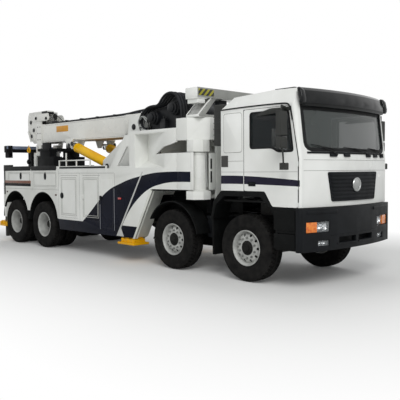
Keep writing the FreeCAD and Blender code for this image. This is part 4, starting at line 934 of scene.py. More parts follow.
# sun visor on brackets
cad_skin("sun_visor", 0.003, "smoked_acrylic")
brackets = [block("arm", (1.1, 1.2), (y - 0.012, y + 0.012), (2.772, 2.784), 0.002) for y in (-0.7, 0, 0.7)]
dress(join("visor_brackets", brackets), "black_abs")
pair(bevel(side_plate("visor_end", [(1.06, 3.015), (1.075, 2.95), (1.09, 2.895), (1.108, 2.84), (1.095, 2.79),
    (1.14, 2.765), (1.168, 2.8), (1.172, 2.85), (1.145, 2.97), (1.095, 3.028)], -1.224, 0.104, 0.016), 0.008, 3),
    "smoked_acrylic")
dress(front_band("screen_band", (-1.09, 1.09), (2.7, 2.8), (-0.014, -0.01), 0), "seal_rubber")

# grille with its frame, slats, mesh and a bare disc
cad_skin("grille", 0.003, "black_abs", "grille_slats")
mesh = front_band("grille_mesh", (-0.66, 0.66), (1.345, 1.755), (0.001, 0.004))
carve(mesh, front_cutter([(-0.605, 1.345), (0.605, 1.345), (0.68, 1.755), (-0.68, 1.755)]), "INTERSECT")
dress(mesh, "black_mesh")
grille_frame = front_band("grille_frame", (-0.72, 0.72), (1.32, 1.78), (0.0, 0.022))
carve(grille_frame, front_cutter(rounded([(-0.612, 1.325), (0.612, 1.325), (0.7, 1.775), (-0.7, 1.775)], 0.035)),
    "INTERSECT")
carve(grille_frame, front_cutter(rounded([(-0.588, 1.352), (0.588, 1.352), (0.672, 1.748), (-0.672, 1.748)], 0.02)))
dress(bevel(grille_frame, 0.003), "black_abs")
dress(lathe("grille_disc", [(0, 0.0), (0.112, 0.0), (0.114, 0.01), (0.108, 0.02), (0.094, 0.022), (0.086, 0.014),
    (0.05, 0.017), (0, 0.019)], at(CAB_FRONT + 0.018, 0, 1.575), "X", 48), "brushed_aluminium")


# ---------------------------------------------------------------- mirrors, on the doors
def housing(name, x, y, z, taper=0.012):
    """A moulded mirror head: a rounded block with its forward face drawn in."""
    obj = block(name, x, y, z, 0)
    edit(obj, faces=lambda c, n: n.x > 0.9)
    bpy.ops.mesh.inset(thickness=taper)
    bpy.ops.mesh.extrude_region_move(TRANSFORM_OT_translate={"value": (0.01, 0, 0)})
    return bevel(obj, 0.014, 4, 20)


heads = [housing("main", (0.895, 0.975), (-1.5, -1.33), (2.31, 2.67)),
    housing("wide", (0.895, 0.975), (-1.498, -1.335), (2.13, 2.295)),
    housing("kerb", (0.945, 1.04), (-1.475, -1.38), (1.812, 1.915), 0.008)]
arms = [tube("stem", [at(0.975, -1.42, 1.905), at(0.97, -1.42, 2.05), at(0.94, -1.42, 2.2), at(0.94, -1.42, 2.755)],
    0.013), tube("upper", [at(0.905, -1.238, 2.715), at(0.925, -1.33, 2.738), at(0.94, -1.42, 2.742)], 0.019),
    block("foot", (0.86, 0.96), (-1.262, -1.24), (2.69, 2.748), 0.006),
    plate("shade", [at(0.3, -1.262, 2.64), at(0.6, -1.3, 2.65), at(0.88, -1.36, 2.66), at(0.9, -1.38, 2.722),
    at(0.62, -1.31, 2.735), at(0.42, -1.275, 2.7)], (0.02, 0.05, 0.012), 0.006)]
pair(join("mirror_heads", heads + arms), "moulded_grey", body="cab_door_{}")
glasses = [block("glass", (0.892, 0.896), (-1.488, -1.342), z, 0.002) for z in ((2.325, 2.655), (2.142, 2.283))]
pair(join("mirror_glasses", glasses), "chrome", body="cab_door_{}")


# ---------------------------------------------------------------- cab interior
def cushion(name, x, y, z):
    """A crowned seat pad with drawn-in sides."""
    pad = block(name, x, y, z, 0)
    edit(pad)
    bpy.ops.mesh.subdivide(number_cuts=3)
    done(pad)
    apply_modifier(pad, "SUBSURF", levels=2, render_levels=2)
    done(pad, 60)
    dress(pad, "seat_cloth")
    return pad


for name, side in SIDES:
    y = (side * 0.7 - 0.25, side * 0.7 + 0.25)
    cushion(f"seat_pad_{name}", (-0.1, 0.395), y, (1.735, 1.945))
    cushion(f"seat_back_{name}", (-0.165, -0.02), y, (1.96, 2.64))
    base = blocks(f"seat_base_{name}", [((-0.09, 0.37), (y[0] + 0.03, y[1] - 0.03), (1.655, 1.735), 0.01),
        ((-0.05, 0.33), (y[0] + 0.08, y[1] - 0.08), (1.536, 1.66), 0.02)])
    dress(base, "black_abs", ["cab_interior"] if side < 0 else [])
dash = plate("dashboard", side_outline([(0.9, 1.6), (0.82, 1.9), (0.88, 2.04), (1.02, 2.065), (1.045, 2.05),
    (1.045, 1.6)], -1.12, 0.05), (0, 2.24, 0), 0.012)
binnacle = block("binnacle", (0.8, 0.94), (0.45, 0.95), (1.98, 2.09), 0.03, 4)
console = block("console", (0.62, 0.9), (-0.22, 0.22), (1.536, 1.9), 0.03, 3)
dress(join("dashboard", [dash, binnacle, console]), "black_abs")
deselect()
tilt = math.radians(-30)
bpy.ops.mesh.primitive_torus_add(major_radius=0.225, minor_radius=0.014, major_segments=48, minor_segments=12,
    location=at(0.65, 0.7, 2.01), rotation=(0, tilt, 0))
ring = bpy.context.object
bpy.ops.object.transform_apply(location=True, rotation=True, scale=True)
wheel_parts = [ring, tube("column", [at(0.655, 0.7, 2.0), at(0.88, 0.7, 1.73)], 0.028, smooth=False)]
for a in (0.3, math.pi - 0.3, math.pi * 1.5):
    reach = Matrix.Rotation(tilt, 3, "Y") @ Vector((math.sin(a), math.cos(a), 0)) * 0.22
    wheel_parts.append(tube("spoke", [at(0.65, 0.7, 2.01), at(0.65, 0.7, 2.01) + reach], 0.012, smooth=False))
dress(join("steering_wheel", wheel_parts), "black_abs")


# ---------------------------------------------------------------- bumper, lamps and steps
cad_skin("bumper", 0.012, "bumper_plastic", segments=3)
dress(front_band("slot_backing", (-0.62, 0.62), (0.63, 0.84), (-0.12, -0.11)), "seal_rubber")
dress(join("bumper_ledges", [front_band("ledge", (-1.165, 1.165), (1.06, 1.098), (0.022, 0.04), 0.01),
    front_band("shoulder", (-1.165, -0.52), (1.15, 1.205), (0.03, 0.056), 0.014),
    front_band("shoulder", (0.52, 1.165), (1.15, 1.205), (0.03, 0.056), 0.014),
    front_band("ledge", (-0.66, 0.66), (0.81, 0.822), (0.036, 0.048), 0.004),
    front_band("lip", (-0.52, -0.03), (0.668, 0.684), (0.03, 0.052), 0.004),
    front_band("lip", (0.03, 0.52), (0.668, 0.684), (0.03, 0.052), 0.004)]), "bumper_plastic")
for name, side in SIDES:
    span = lambda a, b: (side * b, side * a) if side < 0 else (a, b)
    pod = join(f"lamp_pod_{name}", [front_band("pod", span(0.69, 1.168), (0.872, 1.038), (-0.05, -0.042)),
        front_band("pod", span(0.702, 0.938), (0.662, 0.748), (-0.05, -0.042))])
    dress(pod, "black_abs", ["front_lamps"] if side < 0 else [])
    bowls = []
    for y, z, r in ((0.88, 0.952, 0.048), (0.768, 0.952, 0.066), (0.87, 0.705, 0.04), (0.775, 0.705, 0.04)):
        centre = on_front(side * y, z, -0.04)
        bowls.append(lathe("bowl", [(0, 0.0), (r * 0.35, 0.002), (r * 0.75, 0.014), (r, 0.036), (r + 0.004, 0.036),
            (r + 0.004, -0.004), (0, -0.004)], centre, "X", 32))
        bowls.append(lathe("bulb", [(0, 0), (r * 0.22, 0), (r * 0.22, 0.02), (r * 0.12, 0.028), (0, 0.028)],
            centre + Vector((0.002, 0, 0)), "X", 16))
    dress(join(f"lamp_bowls_{name}", bowls), "chrome")
    lenses = [front_band("lens", span(0.692, 0.938), (0.876, 1.034), (0.016, 0.024), 0.002),
        front_band("lens", span(0.706, 0.934), (0.666, 0.744), (0.016, 0.024), 0.002)]
    dress(join(f"lamp_lenses_{name}", lenses), "lamp_lens")
    amber = front_band("indicator", span(0.948, 1.166), (0.876, 1.034), (-0.02, 0.034), 0.02)
    dress(amber, "amber_lens").name = f"indicator_{name}"
cad_skin("steps_and_guards", 0.006, "guard_plastic")
pair(join("step_treads", [row_of(block("rib", (0.7, 1.08), (-1.235, -1.225), (z + 0.03, z + 0.036), 0), "ribs",
    [(0, 0.022 * k, 0) for k in range(1, 10)]) for z in (0.61, 0.9)]), "cast_steel")
pair(join("step_panels", [side_plate("panel", rounded(rect(0.66, 1.06, z0, z1), 0.02), -CAB_Y - 0.01, 0.012, 0.004)
    for z0, z1 in ((0.62, 0.85), (0.9, 1.2))]), "guard_plastic")

# intake stack: ribbed pre-cleaner column
stack = [block("column", (-0.7, -0.49), (-1.18, -1.01), (2.22, 2.91), 0.03, 4),
    block("foot", (-0.6, -0.455), (-1.13, -1.06), (2.3, 2.36), 0.004),
    block("foot", (-0.6, -0.455), (-1.13, -1.06), (2.7, 2.76), 0.004)]
stack += [block("rib", (-0.703, -0.487), (-1.183, -1.007), (z, z + 0.012), 0.004)
    for z in (2.4, 2.5, 2.6, 2.7, 2.8)]
dress(join("intake_column", stack), "moulded_grey", ["intake_stack"])

# ---------------------------------------------------------------- recovery body
FACE = -BODY_Y                           # outer face of the right-hand side
REAR = BODY_REAR - FRONT                 # its rear end, from the first axle


def pressed_panel(name, x, z, y, margin=0.045, ridge=0.03, lift=0.005):
    """A sheet-steel leaf whose field is pressed back behind a margin and up again inside a ridge."""
    leaf = block(name, x, y, z, 0)
    edit(leaf, faces=lambda c, n: n.y < -0.9)
    bpy.ops.mesh.inset(thickness=margin)
    bpy.ops.mesh.inset(thickness=0.005, depth=-lift)
    bpy.ops.mesh.inset(thickness=ridge)
    bpy.ops.mesh.inset(thickness=0.005, depth=lift)
    return bevel(leaf, 0.0025)


def oval(x, z, half_x, half_z, count=28):
    return [(x + half_x * math.cos(2 * math.pi * k / count), z + half_z * math.sin(2 * math.pi * k / count))
        for k in range(count)]


def paddle_latch(name, x, z, half_x=0.048, half_z=0.085):
    """A dished black latch with its paddle."""
    dish = side_plate(name, oval(x, z, half_x, half_z), FACE - 0.017, 0.019, 0)
    edit(dish, faces=lambda c, n: n.y < -0.9)
    bpy.ops.mesh.inset(thickness=0.008)
    bpy.ops.mesh.inset(thickness=0.008, depth=-0.01)
    bevel(dish, 0.002)
    paddle = block("paddle", (x - half_x * 0.45, x + half_x * 0.45), (FACE - 0.02, FACE - 0.008),
        (z - half_z * 0.62, z + half_z * 0.35), 0.004, 3)
    return join(name, [dish, paddle])


shell = two_tone(softened("lockers_right", 0.005, "locker_shell"), "body_enamel", "chassis_black",
    lambda c, n: abs(c.y) < 1.2 and c.z < 1.37 and n.y > -0.5 and not (n.x > 0.5 and c.x > FRONT - 3.2))
also(shell, "leg_rail", lambda c, n: n.x > 0.5 and c.x > FRONT - 3.2 and c.z < 1.5)
pair(shell, None, ["lockers_{}"])


def panel_lines(name, frames, width=0.01):
    """Thin raised frames in grey, drawn on a panel where its pressing turns: painted shade in the folds."""
    return join(name, [
        frame_plate(name, side_outline(rect(*frame), FACE - 0.0075 + drop), (0, 0.003, 0), width, 0)
        for *frame, drop in frames])


def nested(x0, x1, z0, z1, drop, steps=(0.042, 0.08)):
    """Frames drawn inside one another: ranges of x and height, and how far back they lie."""
    return [(x0 + s, x1 - s, z0 + s, z1 - s, drop) for s in steps]


# doors on their hinges, with a rubber seal behind the gap and a round lock
for door_name, free, hinge in (("a", -4.86, -5.59), ("b", -4.68, -4.0)):
    leaf = pressed_panel("leaf", (free, hinge), (0.78, 1.72), (FACE, FACE + 0.025))
    knuckle = row_of(lathe("knuckle", rod(0.009, -0.034, 0.034), at(hinge, FACE, 0.93), "Z", 16), "knuckles",
        [(0, 0, 0.64)])
    pair(join(f"locker_door_{door_name}_leaf", [leaf, knuckle]), "body_enamel", [f"locker_door_{door_name}_{{}}"],
        f"locker_door_{door_name}_{{}}")
    lo, hi = sorted((free, hinge))
    # grey frames on each door: painted shade where the pressing turns
    pair(panel_lines(f"locker_door_{door_name}_lines", nested(lo, hi, 0.78, 1.72, 0.006)), "panel_line",
        body=f"locker_door_{door_name}_{{}}")
    seal = frame_plate(f"locker_door_{door_name}_seal", side_outline(rect(lo - 0.018, hi + 0.018, 0.762, 1.738),
        FACE + 0.03), (0, 0.01, 0), 0.04, 0)
    pair(seal, "seal_rubber")
pair(lathe("locker_lock", [(0, -0.004), (0.068, -0.004), (0.07, 0.006), (0.062, 0.011), (0.054, 0.006),
    (0.046, 0.008), (0.03, 0.016), (0, 0.017)], at(-5.512, FACE, 1.265), "Y", 36, -1), "black_abs",
    body="locker_door_a_{}")
pair(paddle_latch("locker_pull", -4.63, 1.265, 0.026, 0.06), "body_enamel", body="locker_door_b_{}")

# fixed panels: two flaps over the wheels, one panel in front of the doors
pair(join("upper_flaps", [pressed_panel("flap", x, (1.42, 1.83), (FACE - 0.006, FACE + 0.004), 0.035, 0.022, 0.003)
    for x in ((-8.18, -6.955), (-6.85, -5.71))] + [pressed_panel("panel", (-3.965, -3.5), (0.6, 1.705),
    (FACE - 0.006, FACE + 0.004), 0.04, 0.024, 0.003)]), "body_enamel")
# grey frames on the flaps: painted shade where the pressing turns
pair(panel_lines("flap_lines", nested(-8.18, -6.955, 1.42, 1.83, 0.0, (0.032, 0.062)) +
    nested(-6.85, -5.71, 1.42, 1.83, 0.0, (0.032, 0.062))), "panel_line")
pair(join("flap_latches", [paddle_latch("latch", -7.47, 1.705), paddle_latch("latch", -6.25, 1.705)]), "black_abs")
pair(blocks("panel_catch", [((-3.99, -3.915), (FACE - 0.02, FACE - 0.004), (1.215, 1.3), 0.006, 3),
    ((-3.975, -3.93), (FACE - 0.032, FACE - 0.018), (1.235, 1.285), 0.005, 3)]), "black_abs")

# seams sealed between the panels; grey strips on the navy beside the front panel: a seam line, and painted highlight
# along the body's corner edge
SEAMS = [(-5.66, -5.654, 0.75, 1.83), (-6.905, -6.899, 1.36, 1.85), (-8.33, -5.66, 1.385, 1.391),
    (-5.64, -3.48, 1.77, 1.777), (-4.775, -4.769, 0.74, 1.77), (-4.045, -4.039, 0.99, 1.77),
    (-3.47, -3.464, 1.52, 1.77)]
pair(blocks("body_seams", [((x0, x1), (FACE - 0.0015, FACE + 0.003), (z0, z1), 0) for x0, x1, z0, z1 in SEAMS]),
    "seam_sealer")
pair(blocks("drip_strips", [((x - 0.006, x + 0.006), (FACE - 0.01, FACE + 0.001), z, 0.002)
    for x, z in ((-3.985, (0.6, 1.12)), (-3.48, (0.6, 1.46)))]), "strip_paint")

# lower edge of the white field, a folded light edge that follows the rake, and the toe plate under it
edge = side_plate("raked_edge", [(-3.415, 0.505), (-3.365, 0.505), (-2.535, 1.79), (-2.56, 1.8)], FACE - 0.008,
    0.012, 0.002)
toe = side_plate("toe", [(-3.415, 0.505), (-3.17, 0.505), (-3.275, 0.7)], FACE - 0.006, 0.01, 0.002)
pair(join("raked_edge", [edge, toe]), "edge_paint")

# rubber rim strips on the upper edge, corner guards, reflective tape
pair(blocks("rim_strips", [
    ((REAR - 0.055, -6.975), (FACE - 0.012, FACE + 0.068), (1.84, 1.948), 0.006, 3),
    ((-6.93, -5.76), (FACE - 0.012, FACE + 0.068), (1.84, 1.946), 0.006, 3),
    ((REAR - 0.055, -7.96), (FACE - 0.012, FACE + 0.04), (1.935, 1.99), 0.008, 3),
    ((-5.6, -3.8), (FACE - 0.006, FACE + 0.012), (1.88, 1.915), 0.003)]), "seal_rubber")
corner = block("corner_guards", (REAR - 0.062, REAR + 0.012), (FACE - 0.006, FACE + 0.055), (1.23, 1.945), 0.008, 3)
pair(corner, "chassis_black")
pair(block("reflective_tape", (REAR + 0.015, -6.96), (FACE - 0.0085, FACE + 0.001), (1.525, 1.592), 0.001),
    "reflective_tape")
pair(block("tape_backing", (REAR + 0.015, -6.96), (FACE - 0.008, FACE + 0.001), (1.452, 1.523), 0.001),
    "seal_rubber")
pair(block("side_markers", (-3.34, -3.24), (FACE - 0.016, FACE + 0.001), (1.243, 1.281), 0.006, 3), "red_lens")
pair(blocks("small_markers", [((x - 0.03, x + 0.03), (FACE - 0.012, FACE + 0.001), (z - 0.018, z + 0.018), 0.005, 3)
    for x, z in ((-5.78, 1.27), (-8.235, 1.3))]), "brown_lens")

# liners of the wheel arches, mudflaps behind the last axle
for number in (3, 4):
    x = AXLE_X[number - 1] - FRONT
    arc = [(x + r * math.cos(math.radians(a)), 0.65 + r * math.sin(math.radians(a)))
        for r, angles in ((0.679, range(0, 181, 6)), (0.66, range(180, -1, -6))) for a in angles]
    liner = side_plate(f"arch_liner_{number}", arc, FACE + 0.004, 0.47, 0.002)
    pair(liner, "guard_plastic")
pair(join("mudflap_rear", [plate("flap", facing(rect(-1.21, -0.64, 0.11, 0.64), -8.47, 0.03), (0.01, 0, 0), 0.002),
    block("bar", (-8.478, -8.452), (-1.21, -0.64), (0.62, 0.66), 0.004)]), "flap_rubber")

# tail: deck, mast and posts, lamps, bare plate
deck = two_tone(softened("work_deck", 0.005), "white_enamel", "tread_plate",
    lambda c, n: n.z > 0.9 and 1.32 < c.z < 1.335)
also(deck, "chassis_black", lambda c, n: c.z < 1.3 and c.x > BODY_REAR + 0.12 and n.z < 0.5)
dress(deck, None, ["work_deck"])
for z, finish in ((1.58, "amber_lens"), (1.44, "red_lens"), (1.3, "clear_lens")):
    body = lathe("lamp", [(0, 0), (0.06, 0), (0.06, 0.022), (0.055, 0.03), (0.03, 0.036), (0, 0.038)],
        at(REAR - 0.06, -0.88, z), "X", 32, -1)
    body.name = "tail_lamp_" + finish.split("_")[0]
    pair(body, finish)
pair(plate("tail_lamp_board", facing(rect(-0.955, -0.805, 1.22, 1.66), REAR - 0.072, 0.025), (0.014, 0, 0), 0.004),
    "black_abs")
dress(plate("rear_plate", facing(rect(0.3, 0.74, 0.705, 0.825), REAR - 0.068, 0.012), (0.009, 0, 0), 0.002),
    "plate_aluminium")
dress(row_of(block("tail_tape", (REAR - 0.0625, REAR - 0.058), (-1.215, -1.015), (0.79, 0.85), 0.001), "tail_tape",
    [(0, 0.23, 0), (0, 2.0, 0), (0, 2.23, 0)]), "reflective_tape")

# guard rail of the work deck, white tube on posts
pair(join("deck_rail", [tube("rail", side_outline(((-6.37, 1.4), (-6.37, 2.07), (-5.03, 2.07), (-5.03, 1.4)), -0.8),
    0.02, 4, False)] + [tube("post", [at(x, -0.8, 1.4), at(x, -0.8, z)], 0.018, 4, False)
    for x, z in ((-6.05, 2.25), (-5.6, 2.07))]), "white_enamel")
cad_skin("boom_rest", 0.008, "chassis_black")

# hooks hung at the mast: two rings with yellow bodies, two black balls
for number, (y, top, drop) in enumerate(((-0.15, 2.534, 0.15), (0.15, 2.534, 0.15), (-0.06, 2.29, 0.06),
    (0.06, 2.29, 0.06)), 1):
    eye = at(REAR - 0.255, y, top - 0.042)
    foot = eye - UP * drop
    shackle = ring_tube("shackle", eye, 0.03, 0.01, "Y")
    shank = lathe("shank", [(0, 0), (0.017, 0), (0.015, drop - 0.035), (0.01, drop - 0.028), (0, drop - 0.028)],
        foot, "Z", 20)
    big = number < 3
    bowl = tube("bowl", [foot + Vector((dx, 0, dz)) for dx, dz in ((0, 0.01), (0.012, -0.02), (0.042, -0.04),
        (0.055, -0.075), (0.04, -0.115), (0.0, -0.125), (-0.04, -0.105))], 0.017 if big else 0.014, 5)
    latch = tube("latch", [foot + Vector((dx, 0, dz)) for dx, dz in ((-0.004, -0.012), (-0.03, -0.06),
        (-0.036, -0.095))], 0.006)
    piece = join(f"tow_hook_{number}", [shackle, shank, bowl, latch])
    dress(piece, "yellow_enamel" if big else "chassis_black", ["tow_hooks"] if number == 1 else [])
    ball = lathe(f"hook_ball_{number}", [(0.012, -0.055), (0.04, -0.045), (0.056, 0), (0.04, 0.045),
        (0.012, 0.055)], foot + UP * (drop * 0.45), "Z", 24)
    dress(ball, "hook_orange" if big else "chassis_black")
pair(join("spare_ring", [ring_tube("ring", at(-8.6, -0.43, 2.4), 0.062, 0.021, "Y"),
    tube("bail", [at(-8.6, -0.43, z) for z in (2.455, 2.5, 2.53)], 0.012)]), "yellow_enamel")
pair(lathe("spare_ball", [(0, -0.07), (0.045, -0.055), (0.066, 0), (0.045, 0.055), (0.02, 0.075), (0.02, 0.26),
    (0, 0.26)], at(-8.6, -0.43, 2.08), "Z", 28), "chassis_black")

# ---------------------------------------------------------------- tower, winches and front stabilisers
SHELF_Z = 2.58

tower = softened("tower", 0.006)
edit(tower)
bpy.ops.mesh.bisect(plane_co=(0, 0, 1.305), plane_no=(0, 0, 1))
done(tower)
two_tone(tower, "body_enamel", "chassis_black", lambda c, n: c.z < 1.305 and abs(c.y) < 0.81)
boom_pin = at(-3.74, 0, 2.75)
# the boom's pin runs a little loose in its bore
for vertex in tower.data.vertices:
    arm = vertex.co - boom_pin
    if math.hypot(arm.x, arm.z) < 0.052:
        vertex.co -= Vector((arm.x, 0, arm.z)) * 0.08
dress(tower, None, ["tower"])
# the wall behind the cab in light grey: partly paint, partly painted shade of the cab
dress(blocks("rear_of_cab_wall", [((-1.052, -1.008), (-0.802, 0.802), (1.3, 2.352), 0.003)] +
    [((-1.048, -1.012), (min(s * 0.79, s * 0.955), max(s * 0.79, s * 0.955)), (1.47, 2.12), 0.003)
    for s in (-1, 1)]), "grey_enamel")
# mid-grey on the gantry's front face is enamel; on the stays' faces it is painted shade in their channel webs
dress(two_tone(softened("front_beam", 0.006, "lamp_gantry"), "white_enamel", "shade_grey",
    lambda c, n: c.z > 2.8 and (n.x > 0.9 and (c.z > 3.08 or abs(c.y) > 0.8)
    or (n.z > 0.3 and 0.7 < abs(n.y) < 0.98))), None, ["front_beam"])
edges = [plate("edge", [at(x, -y, z) for y, z in ((1.184, 2.79), (1.172, 2.784), (0.868, 3.09), (0.88, 3.096))],
    (width, 0, 0), 0.003) for x, width in ((-1.384, 0.02), (-1.085, 0.038))]
pair(join("gantry_stay_edges", edges), "white_enamel")
pair(block("hazard_band", (-1.031, -1.0285), (-1.205, -0.83), (3.11, 3.225), 0.0008), "hazard_tape")
pair(blocks("gantry_lug", [((-1.33, -1.06), (-1.19, -1.02), (2.985, 3.09), 0.006),
    ((-1.34, -1.05), (-1.225, -0.985), (3.06, 3.088), 0.004)]), "white_enamel")
pair(join("gantry_lamp", [housing("case", (-1.215, -1.11), (-0.62, -0.42), (2.965, 3.075), 0.01),
    block("arm", (-1.185, -1.155), (-0.535, -0.505), (3.06, 3.09), 0.003)]), "black_abs")
pair(block("gantry_lamp_pane", (-1.112, -1.103), (-0.605, -0.435), (2.98, 3.06), 0.004), "clear_lens")

# front stabilisers: sliding box end, collar, jack column, foot pan, cover
JACK_X, JACK_Y = -1.23, -1.03
for side, sign in SIDES:
    skin = softened(f"front_stabiliser_{side}", 0.006, segments=3)
    edit(skin, faces=lambda c, n: 1.455 < c.z < 2.1 and math.hypot(c.x - FRONT - JACK_X, abs(c.y) + JACK_Y) < 0.15)
    bpy.ops.mesh.delete(type="FACE")
    done(skin)
    dress(skin, "body_enamel", [f"front_stabiliser_{side}"], f"front_stabiliser_{side}")
pair(lathe("jack_column", [(0.0, 1.44), (0.145, 1.44), (0.145, 2.085), (0.158, 2.09), (0.158, 2.12), (0.145, 2.125),
    (0.145, 2.15), (0.0, 2.15)], at(JACK_X, JACK_Y, 0), "Z", 56), "white_enamel", body="front_stabiliser_{}")
pair(ring_of(hexagon("bolt", at(JACK_X + 0.168, JACK_Y, 2.312), 0.022, 0.01, "Z"), "collar_bolts", 8,
    at(JACK_X, JACK_Y, 0), "Z", math.radians(22.5)), "white_enamel", body="front_stabiliser_{}")
pair(lathe("foot_rim", [(0.15, 1.452), (0.185, 1.452), (0.19, 1.458), (0.185, 1.466), (0.15, 1.466)],
    at(JACK_X, JACK_Y, 0), "Z", 48), "white_enamel", body="front_stabiliser_{}")
pair(tube("jack_hose", [at(x, y, z) for x, y, z in ((-1.075, -0.93, 2.33), (-1.075, -0.93, 2.3),
    (-1.075, -0.985, 2.22), (-1.07, -1.0, 2.08), (-1.07, -0.995, 1.92), (-1.082, -0.975, 1.8),
    (-1.088, -0.96, 1.66), (-1.09, -0.95, 1.52))], 0.014), "hose_grey", body="front_stabiliser_{}")
# two black blocks beside the jack column: painted shade in the gaps between it and the wall
slot = blocks("column_slot", [((-1.014, -1.004), (-0.948, -0.912), (1.6, 1.8), 0.003),
    ((-1.014, -1.004), (-0.948, -0.912), (1.84, 2.02), 0.003)])
pair(slot, "seal_rubber")
pair(block("side_valves", (-3.28, -3.04), (-0.93, -0.78), (1.87, 2.06), 0.012, 3), "winch_black")
pair(join("side_pipes", [tube("pipe", [at(x, -0.9, 1.9), at(x + 0.02, -0.94, 2.0), at(x + 0.1, -0.945, 2.06),
    at(x + 0.14, -0.93, 2.15)], 0.012) for x in (-3.27, -3.2, -3.13)]), "hose_grey")
pair(block("cover_edges", (-1.2, -1.12), (FACE - 0.004, FACE + 0.003), (1.475, 2.125), 0.002), "white_enamel",
    body="front_stabiliser_{}")


# winches: rope wound between flanges, gear case and motor outside them
def wound_rope(name, x, z, radius, half, rope=0.012):
    """Wire rope laid in turns across its drum."""
    profile = [(radius * 0.5, -half), (radius - rope, -half)]
    for k in range(int(half / rope)):
        centre = -half + rope * (2 * k + 1)
        profile += [(radius, centre), (radius - rope * 0.7, centre + rope)]
    return lathe(name, profile + [(radius - rope, half), (radius * 0.5, half)], at(x, 0, z), "Y", 36)


def flange(name, x, y, z, radius, side):
    """The cast cheek of a winch drum."""
    return lathe(name, [(0.05, 0), (radius - 0.012, 0), (radius, 0.006), (radius, 0.024), (radius - 0.012, 0.03),
        (radius - 0.03, 0.02), (radius * 0.62, 0.016), (radius * 0.52, 0.034), (0.05, 0.034)], at(x, y, z), "Y", 48,
        side)


for number, (x, z, r) in enumerate(((-3.02, 2.89, 0.195), (-2.39, 3.04, 0.26)), 1):
    coil = wound_rope(f"winch_rope_{number}", x, z, r - 0.042, 0.418)
    dress(coil, "wire_rope", ["winches"] if number == 1 else [])
    parts = [flange("flange", x, side * 0.42, z, r, side) for side in (-1, 1)]
    gear = lathe("gear_case", [(0, 0), (0.125, 0), (0.14, 0.012), (0.14, 0.12), (0.118, 0.134), (0.118, 0.176),
        (0.092, 0.19), (0.092, 0.225), (0.07, 0.24), (0, 0.246)], at(x, -0.452, z), "Y", 40, -1)
    motor = lathe("motor", [(0, 0), (0.11, 0), (0.11, 0.05), (0.086, 0.062), (0.086, 0.15), (0.094, 0.158),
        (0.094, 0.23), (0.06, 0.246), (0, 0.246)], at(x, 0.452, z), "Y", 32)
    bolts = ring_of(hexagon("bolt", at(x, -0.586, z + 0.128), 0.016, 0.01, "Y", -1), "bolts", 10, at(x, 0, z), "Y")
    feet = [plate("foot", [at(x + dx, y, zz) for dx, zz in ((-0.15, SHELF_Z), (0.15, SHELF_Z), (0.09, z - 0.02),
        (0.03, z + 0.03), (-0.03, z + 0.03), (-0.09, z - 0.02))], (0, 0.016, 0), 0.004) for y in (-0.512, 0.496)]
    sole = [block("sole", (x - 0.17, x + 0.17), (y, y + 0.09), (SHELF_Z - 0.001, SHELF_Z + 0.018), 0.004)
        for y in (-0.545, 0.455)]
    dress(join(f"winch_{number}", parts + [gear, motor, bolts] + feet + sole), "winch_black")
    guard = [tube("guard", [at(x + (r + 0.01) * math.cos(a), y, z + (r + 0.01) * math.sin(a))
        for a in [math.radians(v) for v in range(20, 161, 20)]], 0.009) for y in (-0.3, -0.1, 0.1, 0.3)]
    dress(join(f"rope_guard_{number}", guard), "winch_black")

# valve bank between the winches, with its clamped hose runs
dress(join("valve_bank", [block("bank", (-2.8, -2.64), (-0.6, -0.1), (SHELF_Z, 2.8), 0.01, 3)] +
    [block("section", (-2.79, -2.65), (-0.585 + 0.075 * k, -0.525 + 0.075 * k), (2.8, 2.85), 0.006)
    for k in range(6)] + [lathe("spool", [(0, 0), (0.018, 0), (0.018, 0.05), (0.01, 0.06), (0, 0.06)],
    at(-2.72, -0.555 + 0.075 * k, 2.85), "Z", 16) for k in range(6)]), "winch_black")
dress(plate("winch_cover", side_outline([(-3.18, 2.64), (-3.23, 2.95), (-3.08, 3.07), (-2.64, 3.12), (-2.48, 3.27),
    (-2.1, 3.28), (-1.96, 3.1), (-1.76, 3.06), (-1.84, 2.88), (-2.42, 2.78), (-2.5, 2.64)], -0.5, 0.05),
    (0, 0.1, 0), 0.02, 3), "winch_black")
runs = []
for k in range(7):
    y = -0.66 + 0.075 * k
    runs.append(tube("run", [at(x, y + dy, z) for x, dy, z in ((-3.33, 0.02, 2.6), (-3.4, 0.0, 2.78),
        (-3.33 - 0.012 * k, 0.0, 2.96), (-3.15, -0.01, 3.085 + 0.006 * k), (-2.96, 0.0, 3.12),
        (-2.78, 0.01, 3.11 + 0.01 * k), (-2.64, 0.0, 3.26), (-2.48, -0.01, 3.335 - 0.006 * (k % 3)),
        (-2.29, 0.0, 3.33), (-2.13, 0.0, 3.18), (-2.08, 0.01, 2.92), (-2.06, 0.0, 2.6))], 0.024 + 0.003 * (k % 2),
        4))
dress(join("hose_runs", runs), "hose_rubber")
loops = [tube("loop", [at(x + 0.18, -0.62 - 0.02 * k, z) for x, z in ((-3.3, 2.96 - 0.05 * k), (-3.42, 2.96),
    (-3.5 - 0.02 * k, 2.88), (-3.52 - 0.02 * k, 2.78), (-3.46, 2.7 - 0.02 * k), (-3.36, 2.65), (-3.28, 2.6))],
    0.014) for k in range(4)]
dress(join("hose_loops", loops[:2]), "hose_rubber")
dress(join("hose_loops_grey", loops[2:]), "hose_grey")
dress(blocks("hose_clamps", [((x - 0.022, x + 0.022), (-0.7, -0.165), (z - 0.012, z + 0.012), 0.004)
    for x, z in ((-3.32, 2.7), (-2.07, 2.76))]), "winch_black")

# ---------------------------------------------------------------- boom: drawn level, then turned to its tilt
HINGE = Vector((FRONT - 3.74, 0, 2.75))
TILT = Matrix.Translation(HINGE) @ Matrix.Rotation(math.radians(0.3), 4, "Y") @ Matrix.Translation(-HINGE)


def stowed(obj):
    """Turns a piece drawn along a level boom to the boom's stowed tilt."""
    obj.data.transform(TILT)
    return obj


